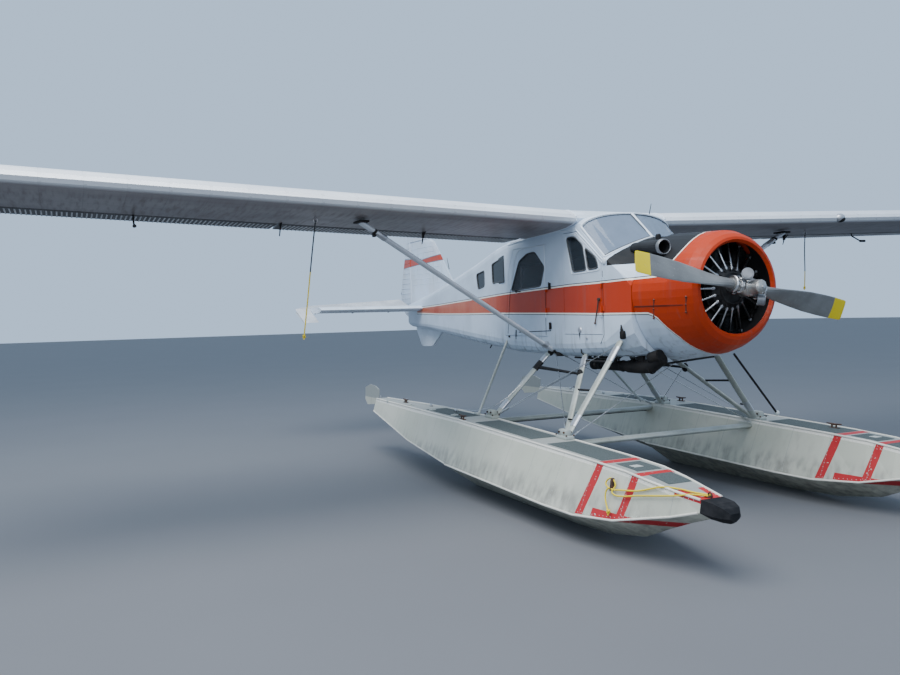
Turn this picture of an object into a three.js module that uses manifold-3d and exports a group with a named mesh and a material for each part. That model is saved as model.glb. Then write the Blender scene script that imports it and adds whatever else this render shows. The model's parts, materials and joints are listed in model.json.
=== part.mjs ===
// A single-engined high-wing floatplane on twin floats.
//
// Everything is modelled in an airframe group whose origin is the centre of the propeller:
// X runs forward, Y to port and Z up, in millimetres. Tables and points give the distance
// aft of the propeller, the offset to port and the height above the thrust line.
import * as THREE from 'three';
import { mergeVertices } from 'three/addons/utils/BufferGeometryUtils.js';
import Module from 'manifold-3d';

const wasm = await Module();
wasm.setup();

// Overall sizes
const BOW_AHEAD = 1350;
const RUDDER_AFT = 8980;
const THRUST_Z = 2250;
const HALF_SPAN = 7315;
const GAP = 0.3;
const RUNNING_GAP = 6;

// Fuselage
const WALL = 40;
const TAIL_CONE_WALL = 20;
const HALF_CABIN = 625;
const FIREWALL_AFT = 980;
const CABIN_END = 4850;
const TAIL_END = 8400;
const FLOOR_HEIGHT = -450;
const DECK_SPLIT = 1370;
const DECK_EDGE = 300;

// Wing: root leading edge, chord, setting and dihedral
const WING_AFT = 1931;
const WING_HEIGHT = 854;
const CHORD = 1587.5;
const TRAILING_DROP = 138;
const DIHEDRAL = THREE.MathUtils.degToRad(2.2);
const WING_THICKNESS = 0.15;
const WING_CAMBER = 0.035;
const HINGE_FRACTION = 0.76;
const FLAP_INNER = 700;
const FLAP_OUTER = 3740;
const AILERON_INNER = 3776;
const AILERON_OUTER = 6940;
const BALANCE_Y = 5270;
const BRACKET_WIDTH = 36;
const TIE_AFT = 526;
const TIE_Y = 3527;

// Tail
const TAIL_HALF_SPAN = 2315;
const TAILPLANE_AFT = 7440;
const TAILPLANE_CHORD = 1150;
const TAILPLANE_HEIGHT = -40;
const TAILPLANE_HINGE = 0.62;
const TAILPLANE_THICKNESS = 0.09;
const TAILPLANE_TIP = 2060;
const ELEVATOR_INNER = 170;
const ELEVATOR_ROOT = 540;
const ELEVATOR_END = 260;
const ELEVATOR_RAKE = 300;
const ELEVATOR_REST = THREE.MathUtils.degToRad(20);
const RUDDER_HINGE_AFT = 8440;
const TUBE_RADIUS = 25;

// Engine, cowl and propeller
const COWL_RADIUS = 578;
const COWL_OPENING = 448;
const CYLINDERS = 9;
const ENGINE_AFT = 420;
const ENGINE_RADIUS = 535;
const PROP_RADIUS = 1330;
const PROP_REST = THREE.MathUtils.degToRad(10.8);

// Floats
const FLOAT_Y = 1480;
const KEEL_HALF = 12;
const FRONT_FOOT = [1205, 1317];
const REAR_FOOT = [2861, 1290];

const palette = {
  white: [0xd9dee4, 0.4, 0.0], orange: [0xc8410f, 0.4, 0.0], black: [0x14161a, 0.6, 0.0],
  silver: [0xb8bcc0, 0.35, 0.9], engine: [0x4b4e52, 0.5, 0.6], blade: [0x84878a, 0.45, 0.2],
  float: [0xc4cac8, 0.5, 0.3], rubber: [0x101112, 0.8, 0.0], glass: [0x8fa3b5, 0.05, 0.0],
  leather: [0x3a3d44, 0.7, 0.0], rope: [0xcaa62c, 0.9, 0.0], corrugated: [0xaab0b4, 0.4, 0.5],
};

const airframe = new THREE.Group();
airframe.position.set((RUDDER_AFT - BOW_AHEAD) / 2, 0, THRUST_Z);
const floatplane = new THREE.Group();
floatplane.add(airframe);

const vec = (aft, y, height) => new THREE.Vector3(-aft, y, height);

/** Adds one named piece to a group, from a solid or a geometry. */
function piece(name, shape, finish, parent = airframe) {
  const [color, roughness, metalness] = palette[finish];
  const geometry = shape.isBufferGeometry ? shape : toGeometry(shape);
  const mesh = new THREE.Mesh(geometry, new THREE.MeshStandardMaterial({ color, roughness, metalness }));
  mesh.name = name;
  parent.add(mesh);
  return mesh;
}

/** Turns a closed three.js geometry into a solid that can be joined and cut. */
function toSolid(geometry) {
  const bare = geometry.clone();
  bare.deleteAttribute('normal');
  bare.deleteAttribute('uv');
  const merged = mergeVertices(bare, 1e-3);
  const vertProperties = Float32Array.from(merged.getAttribute('position').array);
  const triVerts = Uint32Array.from(merged.getIndex().array);
  return new wasm.Manifold(new wasm.Mesh({ numProp: 3, vertProperties, triVerts }));
}

/** Turns a solid back into a geometry. */
function toGeometry(solid) {
  const mesh = solid.getMesh();
  const geometry = new THREE.BufferGeometry();
  geometry.setAttribute('position', new THREE.BufferAttribute(Float32Array.from(mesh.vertProperties), 3));
  geometry.setIndex(new THREE.BufferAttribute(Uint32Array.from(mesh.triVerts), 1));
  geometry.computeVertexNormals();
  return geometry;
}

/** Joins several solids. */
const join = (...solids) => solids.reduce((sum, next) => sum.add(next));

/** Cuts a solid by a neighbour, leaving a gap of about 0.3 mm all round it. */
function clearOf(solid, neighbour) {
  let result = solid;
  for (const sign of [-1, 1]) {
    result = result.subtract(neighbour.translate([sign * GAP, 0, 0]));
    result = result.subtract(neighbour.translate([0, sign * GAP, 0]));
    result = result.subtract(neighbour.translate([0, 0, sign * GAP]));
  }
  return result;
}

/** The matrix of a group inside the airframe. */
function placed(solid, group) {
  group.updateMatrix();
  return solid.transform(group.matrix.toArray());
}

/** A solid through rings of equal length, with flat ends. */
function loft(rings) {
  const count = rings[0].length;
  const faces = [];
  for (let ring = 0; ring < rings.length - 1; ring += 1) {
    for (let side = 0; side < count; side += 1) {
      const a = ring * count + side;
      const b = ring * count + (side + 1) % count;
      faces.push([a, b, b + count], [a, b + count, a + count]);
    }
  }
  const last = (rings.length - 1) * count;
  for (const [i, j, k] of capFaces(rings[0])) faces.push([i, k, j]);
  for (const [i, j, k] of capFaces(rings[rings.length - 1])) faces.push([last + i, last + j, last + k]);
  return closedSolid(rings.flat(), faces);
}

/** A solid from points and the faces that close round them, turned so that they face out. */
function closedSolid(points, faces) {
  const inside = signedVolume(points, faces) < 0;
  const geometry = new THREE.BufferGeometry();
  geometry.setAttribute('position', new THREE.Float32BufferAttribute(points.flatMap((p) => p.toArray()), 3));
  geometry.setIndex(faces.flatMap(([i, j, k]) => (inside ? [i, k, j] : [i, j, k])));
  return toSolid(geometry);
}

/** Triangles that close a ring, wound the same way as the ring. */
function capFaces(ring) {
  const normal = new THREE.Vector3();
  ring.forEach((point, i) => normal.add(point.clone().cross(ring[(i + 1) % ring.length])));
  normal.normalize();
  const across = new THREE.Vector3().subVectors(ring[1], ring[0]).normalize();
  const up = new THREE.Vector3().crossVectors(normal, across);
  const flat = ring.map((point) => new THREE.Vector2(point.dot(across), point.dot(up)));
  return THREE.ShapeUtils.triangulateShape(flat, []).map(([i, j, k]) => {
    const turn = flat[j].clone().sub(flat[i]).cross(flat[k].clone().sub(flat[i]));
    return turn < 0 ? [i, k, j] : [i, j, k];
  });
}

/** Six times the volume that the faces enclose. */
function signedVolume(points, faces) {
  return faces.reduce((sum, [i, j, k]) => sum + points[i].dot(points[j].clone().cross(points[k])), 0);
}

/** A block between two corners given as aft, port and height. */
function block(aft0, aft1, y0, y1, height0, height1) {
  const geometry = new THREE.BoxGeometry(aft1 - aft0, y1 - y0, height1 - height0);
  geometry.translate(-(aft0 + aft1) / 2, (y0 + y1) / 2, (height0 + height1) / 2);
  return toSolid(geometry);
}

/** A plate of an outline of [aft, height] points, between two offsets to port. */
function plate(outline, y0, y1) {
  const shape = new THREE.Shape(outline.map(([aft, height]) => new THREE.Vector2(-aft, height)));
  const geometry = new THREE.ExtrudeGeometry(shape, { depth: y1 - y0, bevelEnabled: false });
  geometry.rotateX(Math.PI / 2);
  geometry.translate(0, y1, 0);
  return toSolid(geometry);
}

/** The outward normal of an outline's edge, for an outline that turns left where turn is 1. */
function edgeNormal(from, to, turn) {
  const [da, db] = [to[0] - from[0], to[1] - from[1]];
  const length = Math.hypot(da, db);
  return [(turn * db) / length, (-turn * da) / length];
}

/** An outline moved outward by a distance, edge by edge. */
function widened(outline, distance) {
  const turn = Math.sign(THREE.ShapeUtils.area(outline.map(([a, b]) => new THREE.Vector2(a, b))));
  return outline.map((corner, i) => {
    const before = edgeNormal(outline[(i + outline.length - 1) % outline.length], corner, turn);
    const after = edgeNormal(corner, outline[(i + 1) % outline.length], turn);
    const reach = distance / (1 + before[0] * after[0] + before[1] * after[1]);
    return [corner[0] + reach * (before[0] + after[0]), corner[1] + reach * (before[1] + after[1])];
  });
}

/** An outline with its corners rounded by a radius, in four steps each. */
function rounded(outline, radius) {
  const steps = 4;
  return outline.flatMap((corner, i) => {
    const toward = (other) => {
      const length = Math.hypot(other[0] - corner[0], other[1] - corner[1]);
      return other.map((value, axis) => corner[axis] + ((value - corner[axis]) / length) * radius);
    };
    const start = toward(outline[(i + outline.length - 1) % outline.length]);
    const end = toward(outline[(i + 1) % outline.length]);
    return Array.from({ length: steps + 1 }, (_, step) => {
      const share = step / steps;
      return [0, 1].map((axis) => start[axis] * (1 - share) ** 2 + 2 * corner[axis] * share * (1 - share)
        + end[axis] * share ** 2);
    });
  });
}

/** A round bar between two points. */
function rod(from, to, radius, sides = 16, endRadius = radius) {
  const axis = new THREE.Vector3().subVectors(to, from);
  const geometry = new THREE.CylinderGeometry(endRadius, radius, axis.length(), sides);
  geometry.translate(0, axis.length() / 2, 0);
  const upward = new THREE.Vector3(0, 1, 0);
  geometry.applyQuaternion(new THREE.Quaternion().setFromUnitVectors(upward, axis.normalize()));
  geometry.translate(from.x, from.y, from.z);
  return toSolid(geometry);
}

/** A streamlined strut between two points: an oval, wide along the flight path. */
function strut(from, to, chord, thickness) {
  const axis = new THREE.Vector3().subVectors(to, from);
  const length = axis.length();
  axis.normalize();
  const across = new THREE.Vector3().crossVectors(axis, new THREE.Vector3(1, 0, 0)).normalize();
  const along = new THREE.Vector3().crossVectors(across, axis);
  const shape = new THREE.Shape();
  shape.absellipse(0, 0, chord / 2, thickness / 2, 0, 2 * Math.PI);
  const geometry = new THREE.ExtrudeGeometry(shape, { depth: length, bevelEnabled: false, curveSegments: 8 });
  geometry.applyMatrix4(new THREE.Matrix4().makeBasis(along, across, axis));
  geometry.translate(from.x, from.y, from.z);
  return toSolid(geometry);
}

/** A turned piece around the propeller axis: profile of [aft, radius] points that starts and ends on it. */
function turned(profile, sides = 32) {
  const points = profile.map(([aft, radius]) => new THREE.Vector2(radius, -aft));
  const geometry = new THREE.LatheGeometry(points, sides);
  geometry.rotateZ(-Math.PI / 2);
  const solid = toSolid(geometry);
  return solid.volume() < 0 ? toSolid(flipped(geometry)) : solid;
}

/** The same geometry with its faces turned over. */
function flipped(geometry) {
  const other = geometry.clone();
  const index = Array.from(other.getIndex().array);
  for (let i = 0; i < index.length; i += 3) [index[i], index[i + 1]] = [index[i + 1], index[i]];
  other.setIndex(index);
  return other;
}

const mirrored = (solid) => solid.mirror([0, 1, 0]);

// Fuselage sections. Columns: aft at the side, aft at the crown, half width, belly height, shoulder
// height, crown height, bilge radius, squareness of the arch from shoulder to crown (1 is round).
const FUSELAGE = [
  [980, 980, 612, -685, 60, 598, 420, 1.5],
  [1200, 1160, 620, -688, 240, 604, 300, 1.7],
  [1440, 1380, HALF_CABIN, -692, 390, 620, 170, 1.8],
  [1900, 1760, HALF_CABIN, -700, 755, 940, 150, 0.8],
  [2400, 2400, HALF_CABIN, -712, 770, 900, 150, 0.7],
  [3560, 3560, HALF_CABIN, -690, 690, 800, 150, 0.6],
  [3950, 3950, 610, -659, 620, 745, 150, 0.6],
  [4850, 4850, 515, -606, 430, 590, 150, 0.65],
  [5950, 5950, 388, -526, 245, 420, 140, 0.7],
  [7100, 7100, 262, -436, 70, 235, 110, 0.75],
  [8400, 8400, 105, -360, -30, 60, 60, 0.8],
];
const BILGE_STEPS = 4;
const ARCH_STEPS = 8;

/** The ring of one fuselage section, grown outward by a distance, with its floor where one is given. */
function fuselageRing(section, grow = 0, floor = null) {
  const [aftSide, aftCrown, halfWidth, belly, shoulder, crown, bilge, square] = section;
  const width = halfWidth + grow;
  const bottom = floor === null ? belly - grow : floor;
  const radius = floor === null ? bilge : 30;
  const half = [[aftSide, 0, bottom]];
  for (let step = 0; step <= BILGE_STEPS; step += 1) {
    const angle = (step / BILGE_STEPS) * (Math.PI / 2);
    const [out, up] = [radius * Math.sin(angle), radius * Math.cos(angle)];
    half.push([aftSide, width - radius + out, bottom + radius - up]);
  }
  for (let step = 0; step <= ARCH_STEPS; step += 1) {
    const share = step / ARCH_STEPS;
    const angle = share * (Math.PI / 2);
    const rise = crown + grow - shoulder;
    half.push([
      aftSide + (aftCrown - aftSide) * share,
      step === ARCH_STEPS ? 0 : width * Math.cos(angle) ** square,
      shoulder + rise * Math.sin(angle) ** square,
    ]);
  }
  const port = half.map(([aft, y, height]) => vec(aft, y, height));
  const starboard = half.slice(1, -1).reverse().map(([aft, y, height]) => vec(aft, -y, height));
  return [...port, ...starboard];
}

// Openings in the side walls, as outlines of [aft, height]
const COCKPIT_DOOR = [[1480, -450], [2240, -450], [2240, 730], [1960, 730], [1480, 360]];
const CABIN_DOOR = [[2630, -480], [3690, -480], [3560, 400], [3420, 645], [2630, 645]];
const COCKPIT_WINDOWS = [
  [[1770, 275], [2040, 268], [2160, 670], [2000, 675], [1830, 560]],
  [[1540, 285], [1735, 277], [1790, 530], [1580, 400]],
];
const COCKPIT_PANE = [[1530, 262], [2060, 250], [2175, 690], [1985, 690], [1560, 388]];
const CABIN_WINDOW = [[2760, 140], [3500, 110], [3280, 480], [3080, 560], [2890, 570], [2665, 370]];
const REAR_WINDOWS = [
  [[3712, 252], [4070, 230], [4082, 499], [3716, 562]],
  [[4374, 209], [4629, 178], [4684, 392], [4371, 431]],
];
const REAR_PANE = [[3685, 230], [4700, 148], [4738, 400], [3695, 590]];
const WINDOW_CORNER = 50;
const DOOR_HINGE_OUT = 12.5;
const DOOR_HINGES = [-250, 60];

const fuselageOuter = loft(FUSELAGE.map((section) => fuselageRing(section)));
const cabinInner = loft(FUSELAGE.map((section) => fuselageRing(section, -WALL,
  Math.max(FLOOR_HEIGHT, section[3] + WALL))));

/** The side wall between the skin and the cabin, on the port side. */
const wallPlate = (outline, inset = 0) => plate(outline, HALF_CABIN - WALL - inset, HALF_CABIN + 30);

/** A window pane and the rebate that holds it, against the inside of the wall. */
function paneAndRebate(outline, skin = HALF_CABIN) {
  const pane = plate(outline, skin - 14, skin - 6);
  const rebate = plate(widened(outline, GAP), skin - 80, skin - 6 + GAP);
  return [pane, rebate];
}

/** The knuckles of a door hinge: the door's and the pillar's, stacked on one pin line. */
function hingeKnuckles(aft, height) {
  const y = HALF_CABIN + DOOR_HINGE_OUT;
  const [tall, radius, leaf] = [60, 11, 55];
  const door = join(
    rod(vec(aft, y, height), vec(aft, y, height + tall), radius, 12),
    block(aft, aft + leaf, HALF_CABIN - 10, HALF_CABIN + 6, height, height + tall),
  );
  const pillar = join(
    rod(vec(aft, y, height + tall + GAP), vec(aft, y, height + 2 * tall), radius, 12),
    block(aft - leaf, aft, HALF_CABIN - 10, HALF_CABIN + 6, height + tall + GAP, height + 2 * tall),
  );
  return [door, pillar];
}

/** One door on the port side: its panel with its windows and knuckles, and what it takes from the shell. */
function doorSet(outline, windows, paneOutline, hingeAft) {
  const [pane, rebate] = paneAndRebate(paneOutline);
  let panel = wallPlate(widened(outline, -RUNNING_GAP)).intersect(fuselageOuter);
  for (const window of windows) panel = panel.subtract(wallPlate(window, 5));
  panel = panel.subtract(rebate);
  const pillars = [];
  for (const height of DOOR_HINGES) {
    const [door, pillar] = hingeKnuckles(hingeAft, height);
    panel = panel.add(door);
    pillars.push(pillar);
  }
  return { panel, pane, opening: wallPlate(outline, 1), pillars };
}

const cockpitDoor = doorSet(COCKPIT_DOOR, COCKPIT_WINDOWS, COCKPIT_PANE, 1480 + RUNNING_GAP / 2);
const cabinDoor = doorSet(CABIN_DOOR, [CABIN_WINDOW], widened(CABIN_WINDOW, 18), 2630 + RUNNING_GAP / 2);

/** A point of the skin between two sections: arch share from shoulder to crown, and share between them. */
function skinPoint(front, back, arch, share, side) {
  const first = 1 + BILGE_STEPS + 1;
  const step = Math.min(Math.floor(arch * ARCH_STEPS), ARCH_STEPS - 1);
  const part = arch * ARCH_STEPS - step;
  const on = (section) => {
    const ring = fuselageRing(section);
    return ring[first + step].clone().lerp(ring[first + step + 1], part);
  };
  const point = on(front).lerp(on(back), share);
  point.y *= side;
  return point;
}

/** A solid between two grids of points, each given as rows of equal length. */
function slab(front, back) {
  const [rows, columns] = [front.length, front[0].length];
  const behind = rows * columns;
  const at = (row, column) => row * columns + column;
  const faces = [];
  const quad = (a, b, c, d) => faces.push([a, b, c], [a, c, d]);
  for (let row = 0; row < rows - 1; row += 1) {
    for (let column = 0; column < columns - 1; column += 1) {
      const corners = [at(row, column), at(row, column + 1), at(row + 1, column + 1), at(row + 1, column)];
      quad(...corners);
      quad(...corners.map((corner) => corner + behind).reverse());
    }
  }
  const rim = [];
  for (let column = 0; column < columns - 1; column += 1) rim.push(at(0, column));
  for (let row = 0; row < rows - 1; row += 1) rim.push(at(row, columns - 1));
  for (let column = columns - 1; column > 0; column -= 1) rim.push(at(rows - 1, column));
  for (let row = rows - 1; row > 0; row -= 1) rim.push(at(row, 0));
  rim.forEach((corner, i) => {
    const next = rim[(i + 1) % rim.length];
    quad(next, corner, corner + behind, next + behind);
  });
  return closedSolid([...front.flat(), ...back.flat()], faces);
}

/** A panel of the windscreen as a solid, between two depths below the skin. */
function windscreenPanel(side, edge, depth0, depth1) {
  const [front, back] = [FUSELAGE[2], FUSELAGE[3]];
  const archs = [0.1 + edge, 0.25, 0.375, 0.5, 0.625, 0.75, 0.875, 0.985 - edge];
  const shares = [0.03 + edge, 0.92 - edge];
  const inward = new THREE.Vector3(-0.62, -0.25 * side, -0.74).normalize();
  const grid = (depth) => shares.map((share) => archs.map((arch) => skinPoint(front, back, arch, share, side)
    .addScaledVector(inward, depth)));
  return slab(grid(depth0), grid(depth1));
}

/** The hollow cabin with its doors, windows and windscreen cut out. */
function cabinShell() {
  let shell = fuselageOuter.intersect(block(FIREWALL_AFT, CABIN_END, -800, 800, -900, 1200));
  const cabinRoom = block(FIREWALL_AFT + 50, CABIN_END - WALL, -800, 800, -900, 1200);
  shell = shell.subtract(cabinInner.intersect(cabinRoom));
  shell = shell.subtract(block(0, DECK_SPLIT, -800, 800, DECK_EDGE, 1200));
  for (const turn of [(solid) => solid, mirrored]) {
    shell = shell.subtract(turn(cockpitDoor.opening)).subtract(turn(cabinDoor.opening));
    for (const window of REAR_WINDOWS) {
      shell = shell.subtract(turn(plate(rounded(window, WINDOW_CORNER), 300, 700)));
    }
    shell = shell.subtract(turn(rearPaneSet[1]));
    for (const pillar of [...cockpitDoor.pillars, ...cabinDoor.pillars]) shell = shell.add(turn(pillar));
  }
  for (const side of [-1, 1]) shell = shell.subtract(windscreenPanel(side, 0, -60, 160));
  return shell;
}

// The rear side windows lie where the wall starts to taper, so their pane is turned with it
const REAR_WALL_TURN = Math.atan2(610 - 515, 4850 - 3950);
const rearPaneSet = (() => {
  const turnedPlate = (outline, y0, y1) => {
    const solid = plate(outline.map(([aft, height]) => [aft - 3950, height]), y0, y1);
    return solid.rotate([0, 0, THREE.MathUtils.radToDeg(REAR_WALL_TURN)]).translate([-3950, 610, 0]);
  };
  return [turnedPlate(REAR_PANE, -14, -6), turnedPlate(widened(REAR_PANE, GAP), -90, -6 + GAP)];
})();

const shell = cabinShell();
piece('cabin_shell', shell, 'white');

const noseDeck = fuselageOuter
  .subtract(cabinInner.intersect(block(FIREWALL_AFT + 50, CABIN_END, -800, 800, -900, 1200)))
  .intersect(block(FIREWALL_AFT, DECK_SPLIT - GAP, -800, 800, DECK_EDGE + GAP, 1200));
piece('nose_deck', noseDeck, 'black');

// The tail end rises to the rudder's heel
const TAIL_CUT = [[8120, -419], [8460, -261], [8460, -700], [8120, -700]];
const rearFuselageSolid = fuselageOuter
  .intersect(block(CABIN_END + GAP, TAIL_END, -800, 800, -900, 1200))
  .subtract(plate(TAIL_CUT, -300, 300))
  .subtract(loft(FUSELAGE.slice(6).map((section) => fuselageRing(section, -TAIL_CONE_WALL))).intersect(
    block(CABIN_END - 100, 8000, -800, 800, -900, 1200)));

for (const [side, label, turn] of [[1, 'port', (solid) => solid], [-1, 'starboard', mirrored]]) {
  piece(`cockpit_door_${label}`, turn(cockpitDoor.panel), 'white');
  piece(`cockpit_window_${label}`, turn(cockpitDoor.pane), 'glass');
  piece(`cabin_door_${label}`, turn(cabinDoor.panel), 'white');
  piece(`cabin_window_${label}`, turn(cabinDoor.pane), 'glass');
  piece(`rear_window_${label}`, turn(rearPaneSet[0]), 'glass');
  piece(`windscreen_${label}`, windscreenPanel(side, 0.005, 6, 16), 'glass');
}

// Airfoils
/** An airfoil outline of [along, height] pairs from a share of the chord to the trailing edge and back. */
function airfoil(chord, thickness, camber, steps, from = 0, to = 1) {
  const upper = [];
  const lower = [];
  for (let step = 0; step <= steps; step += 1) {
    const share = from + (to - from) * (1 - Math.cos((step / steps) * (Math.PI / 2)));
    const half = 5 * thickness * (0.2969 * Math.sqrt(share) - 0.126 * share - 0.3516 * share ** 2
      + 0.2843 * share ** 3 - 0.1015 * share ** 4);
    const bow = share < 0.4 ? (camber / 0.16) * (0.8 * share - share ** 2)
      : (camber / 0.36) * (0.2 + 0.8 * share - share ** 2);
    upper.push([share * chord, (bow + half) * chord]);
    lower.push([share * chord, (bow - half) * chord]);
  }
  return { upper, lower };
}

/** The ring of an airfoil at an offset to port, with its leading edge at a point. */
function wingRing(y, aft, height, chord, drop, thickness = WING_THICKNESS, camber = WING_CAMBER, steps = 9) {
  const { upper, lower } = airfoil(chord, thickness, camber, steps);
  const outline = [...upper, ...lower.slice(1).reverse()];
  return outline.map(([along, up]) => vec(aft + along, y, height + up - (along / chord) * drop));
}

/** A control surface between two offsets: the tail of an airfoil with a round nose about its hinge. */
function controlSurface(y0, y1, chord, drop, hinge, thickness, camber) {
  const { upper, lower } = airfoil(chord, thickness, camber, 4, hinge, 1);
  const middle = (upper[0][1] + lower[0][1]) / 2;
  const radius = (upper[0][1] - lower[0][1]) / 2;
  const nose = [];
  for (let step = 1; step < 8; step += 1) {
    const angle = Math.PI / 2 + (step / 8) * Math.PI;
    nose.push([upper[0][0] + radius * Math.cos(angle), middle + radius * Math.sin(angle)]);
  }
  const outline = [...upper, ...lower.slice(1).reverse(), ...nose.reverse()];
  const sloped = outline.map(([along, up]) => [along, up - (along / chord) * drop]);
  return { solid: plate(sloped, y0, y1), hingeAt: [upper[0][0], middle - hinge * drop], radius };
}

// Wings
const wingGroups = {};
const wingSolids = {};
const flapSample = controlSurface(0, 1, CHORD, TRAILING_DROP, HINGE_FRACTION, WING_THICKNESS, WING_CAMBER);
const WING_WALL = flapSample.hingeAt[0] - flapSample.radius - RUNNING_GAP;

/** The wing of one side in its own frame, whose origin is the leading edge on the centre plane. */
function wingPanel() {
  const tips = [[600, 1], [6970, 1], [7130, 0.97], [7250, 0.87], [HALF_SPAN, 0.62]];
  const rings = tips.map(([y, scale]) => wingRing(y, CHORD * (1 - scale) * 0.55, 0, CHORD * scale,
    TRAILING_DROP * scale, WING_THICKNESS * (0.35 + 0.65 * scale)));
  let wing = loft(rings);
  wing = wing.subtract(block(WING_WALL, CHORD + 100, 500, AILERON_OUTER + RUNNING_GAP, -500, 500));
  for (const y of [FLAP_INNER - BRACKET_WIDTH / 2, (FLAP_OUTER + AILERON_INNER) / 2, AILERON_OUTER]) {
    wing = wing.add(hingeBracket(y));
  }
  return wing.add(rod(vec(TIE_AFT, TIE_Y, -90), vec(TIE_AFT, TIE_Y, -150), 9, 10));
}

/** A hinge bracket: an arm from the wing's rear wall and a boss on the hinge line. */
function hingeBracket(y) {
  const [aft, height] = flapSample.hingeAt;
  const half = BRACKET_WIDTH / 2 - GAP;
  const atTip = y === AILERON_OUTER;
  const [y0, y1] = atTip ? [y + GAP, y + RUNNING_GAP + 1] : [y - half, y + half];
  const boss = rod(vec(aft, y0, height), vec(aft, y1, height), 22, 12);
  if (atTip) return boss;
  return boss.add(block(WING_WALL - 20, aft, y - 5, y + 5, height - 16, height + 16));
}

const portWing = wingPanel();
for (const [side, label, turn] of [[1, 'port', (solid) => solid], [-1, 'starboard', mirrored]]) {
  const group = new THREE.Group();
  group.position.set(-WING_AFT, 0, WING_HEIGHT);
  group.rotation.x = side * DIHEDRAL;
  airframe.add(group);
  group.updateMatrix();
  const back = group.matrix.clone().invert().toArray();
  const root = block(0, 9000, -HALF_CABIN - GAP, HALF_CABIN + GAP, -3000, 3000).transform(back);
  wingGroups[label] = group;
  wingSolids[label] = turn(portWing).subtract(root);
  piece(`wing_${label}`, wingSolids[label], 'silver', group);
  const flap = controlSurface(FLAP_INNER, FLAP_OUTER, CHORD, TRAILING_DROP, HINGE_FRACTION,
    WING_THICKNESS, WING_CAMBER);
  piece(`flap_${label}`, turn(flap.solid), 'corrugated', group);
  const aileron = controlSurface(AILERON_INNER, AILERON_OUTER, CHORD, TRAILING_DROP, HINGE_FRACTION,
    WING_THICKNESS, WING_CAMBER);
  piece(`aileron_${label}`, turn(join(aileron.solid, massBalance(BALANCE_Y))), 'corrugated', group);
}

/** A mass balance: an arm that drops below the wing and a weight ahead of the hinge. */
function massBalance(y) {
  const [aft, height] = flapSample.hingeAt;
  return join(
    rod(vec(aft + 10, y, height), vec(aft - 20, y, height - 100), 10, 8),
    rod(vec(aft - 20, y, height - 100), vec(aft - 170, y, height - 190), 10, 8),
    rod(vec(aft - 160, y, height - 188), vec(aft - 250, y, height - 196), 18, 10),
  );
}

/** The roof over the cabin, between the wings. */
function centreSection() {
  const rings = [-HALF_CABIN, HALF_CABIN]
    .map((y) => wingRing(y, WING_AFT, WING_HEIGHT + 24, CHORD, TRAILING_DROP));
  return clearOf(loft(rings), fuselageOuter.intersect(block(FIREWALL_AFT, CABIN_END, -800, 800, -900, 1200)));
}
piece('wing_centre_section', centreSection(), 'white');

// Wing struts
for (const [side, label] of [[1, 'port'], [-1, 'starboard']]) {
  const lower = vec(2590, side * 590, -640);
  const upper = vec(2411, side * 3058, 830);
  let solid = strut(lower, upper, 118, 52);
  solid = clearOf(clearOf(solid, fuselageOuter), placed(wingSolids[label], wingGroups[label]));
  const parts = solid.decompose().sort((a, b) => b.volume() - a.volume());
  piece(`wing_strut_${label}`, parts[0], 'silver');
}

// Tail
// Fin sections. Columns: height, aft at the leading edge
const FIN = [[40, 6560], [200, 6560], [400, 6620], [1130, 7350], [1180, 7500]];
// Half thickness of the fin. Columns: share of the chord, half thickness
const FIN_FORM = [[0, 5], [0.08, 20], [0.3, 36], [0.65, 34], [1, 28]];
const RUDDER = [
  [RUDDER_HINGE_AFT, -200], [8560, -200], [8760, -130], [8930, 30], [RUDDER_AFT, 250], [8900, 500],
  [8790, 750], [8680, 1020], [8560, 1270], [8430, 1400], [8200, 1400], [7900, 1340], [7640, 1200],
  [RUDDER_HINGE_AFT - 50, 1200],
  [RUDDER_HINGE_AFT, 1200],
];
// Plan of the rudder, seen from above, on the port side. Columns: aft, half thickness
const RUDDER_PLAN = [[7600, 5], [7900, 28], [RUDDER_HINGE_AFT, 30], [RUDDER_AFT + 20, 7]];

/** A ring at one height from rows of [aft, half thickness]. */
function uprightRing(rows, height) {
  const port = rows.map(([aft, half]) => vec(aft, half, height));
  const starboard = rows.map(([aft, half]) => vec(aft, -half, height)).reverse();
  return [...port, ...starboard];
}

const finRings = FIN.map(([height, leading]) => uprightRing(
  FIN_FORM.map(([share, half]) => [leading + share * (RUDDER_HINGE_AFT - 40 - leading), half]), height));
const finSolid = clearOf(loft(finRings), rearFuselageSolid).decompose()
  .sort((a, b) => b.volume() - a.volume())[0];
const rudderForm = plate(RUDDER, -30, 30).intersect(
  loft([-300, 1500].map((height) => uprightRing(RUDDER_PLAN, height))));
const rudderHeel = block(TAIL_END - 60, RUDDER_HINGE_AFT + 25, -16, 16, -225, -200 - GAP);

const elevatorHinge = TAILPLANE_AFT + TAILPLANE_CHORD * TAILPLANE_HINGE;
const torqueHole = rod(vec(elevatorHinge, -400, TAILPLANE_HEIGHT),
  vec(elevatorHinge, 400, TAILPLANE_HEIGHT), 45, 16);
piece('rear_fuselage', rearFuselageSolid.subtract(torqueHole).add(rudderHeel), 'white');
piece('fin', finSolid, 'white');
piece('rudder', join(rudderForm, rod(vec(RUDDER_HINGE_AFT, 0, -200), vec(RUDDER_HINGE_AFT, 0, 1195), 30, 16)),
  'corrugated');

const elevatorGroup = new THREE.Group();
elevatorGroup.position.set(-elevatorHinge, 0, TAILPLANE_HEIGHT);
elevatorGroup.rotation.y = ELEVATOR_REST;
airframe.add(elevatorGroup);
const elevatorHalves = [];

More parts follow.
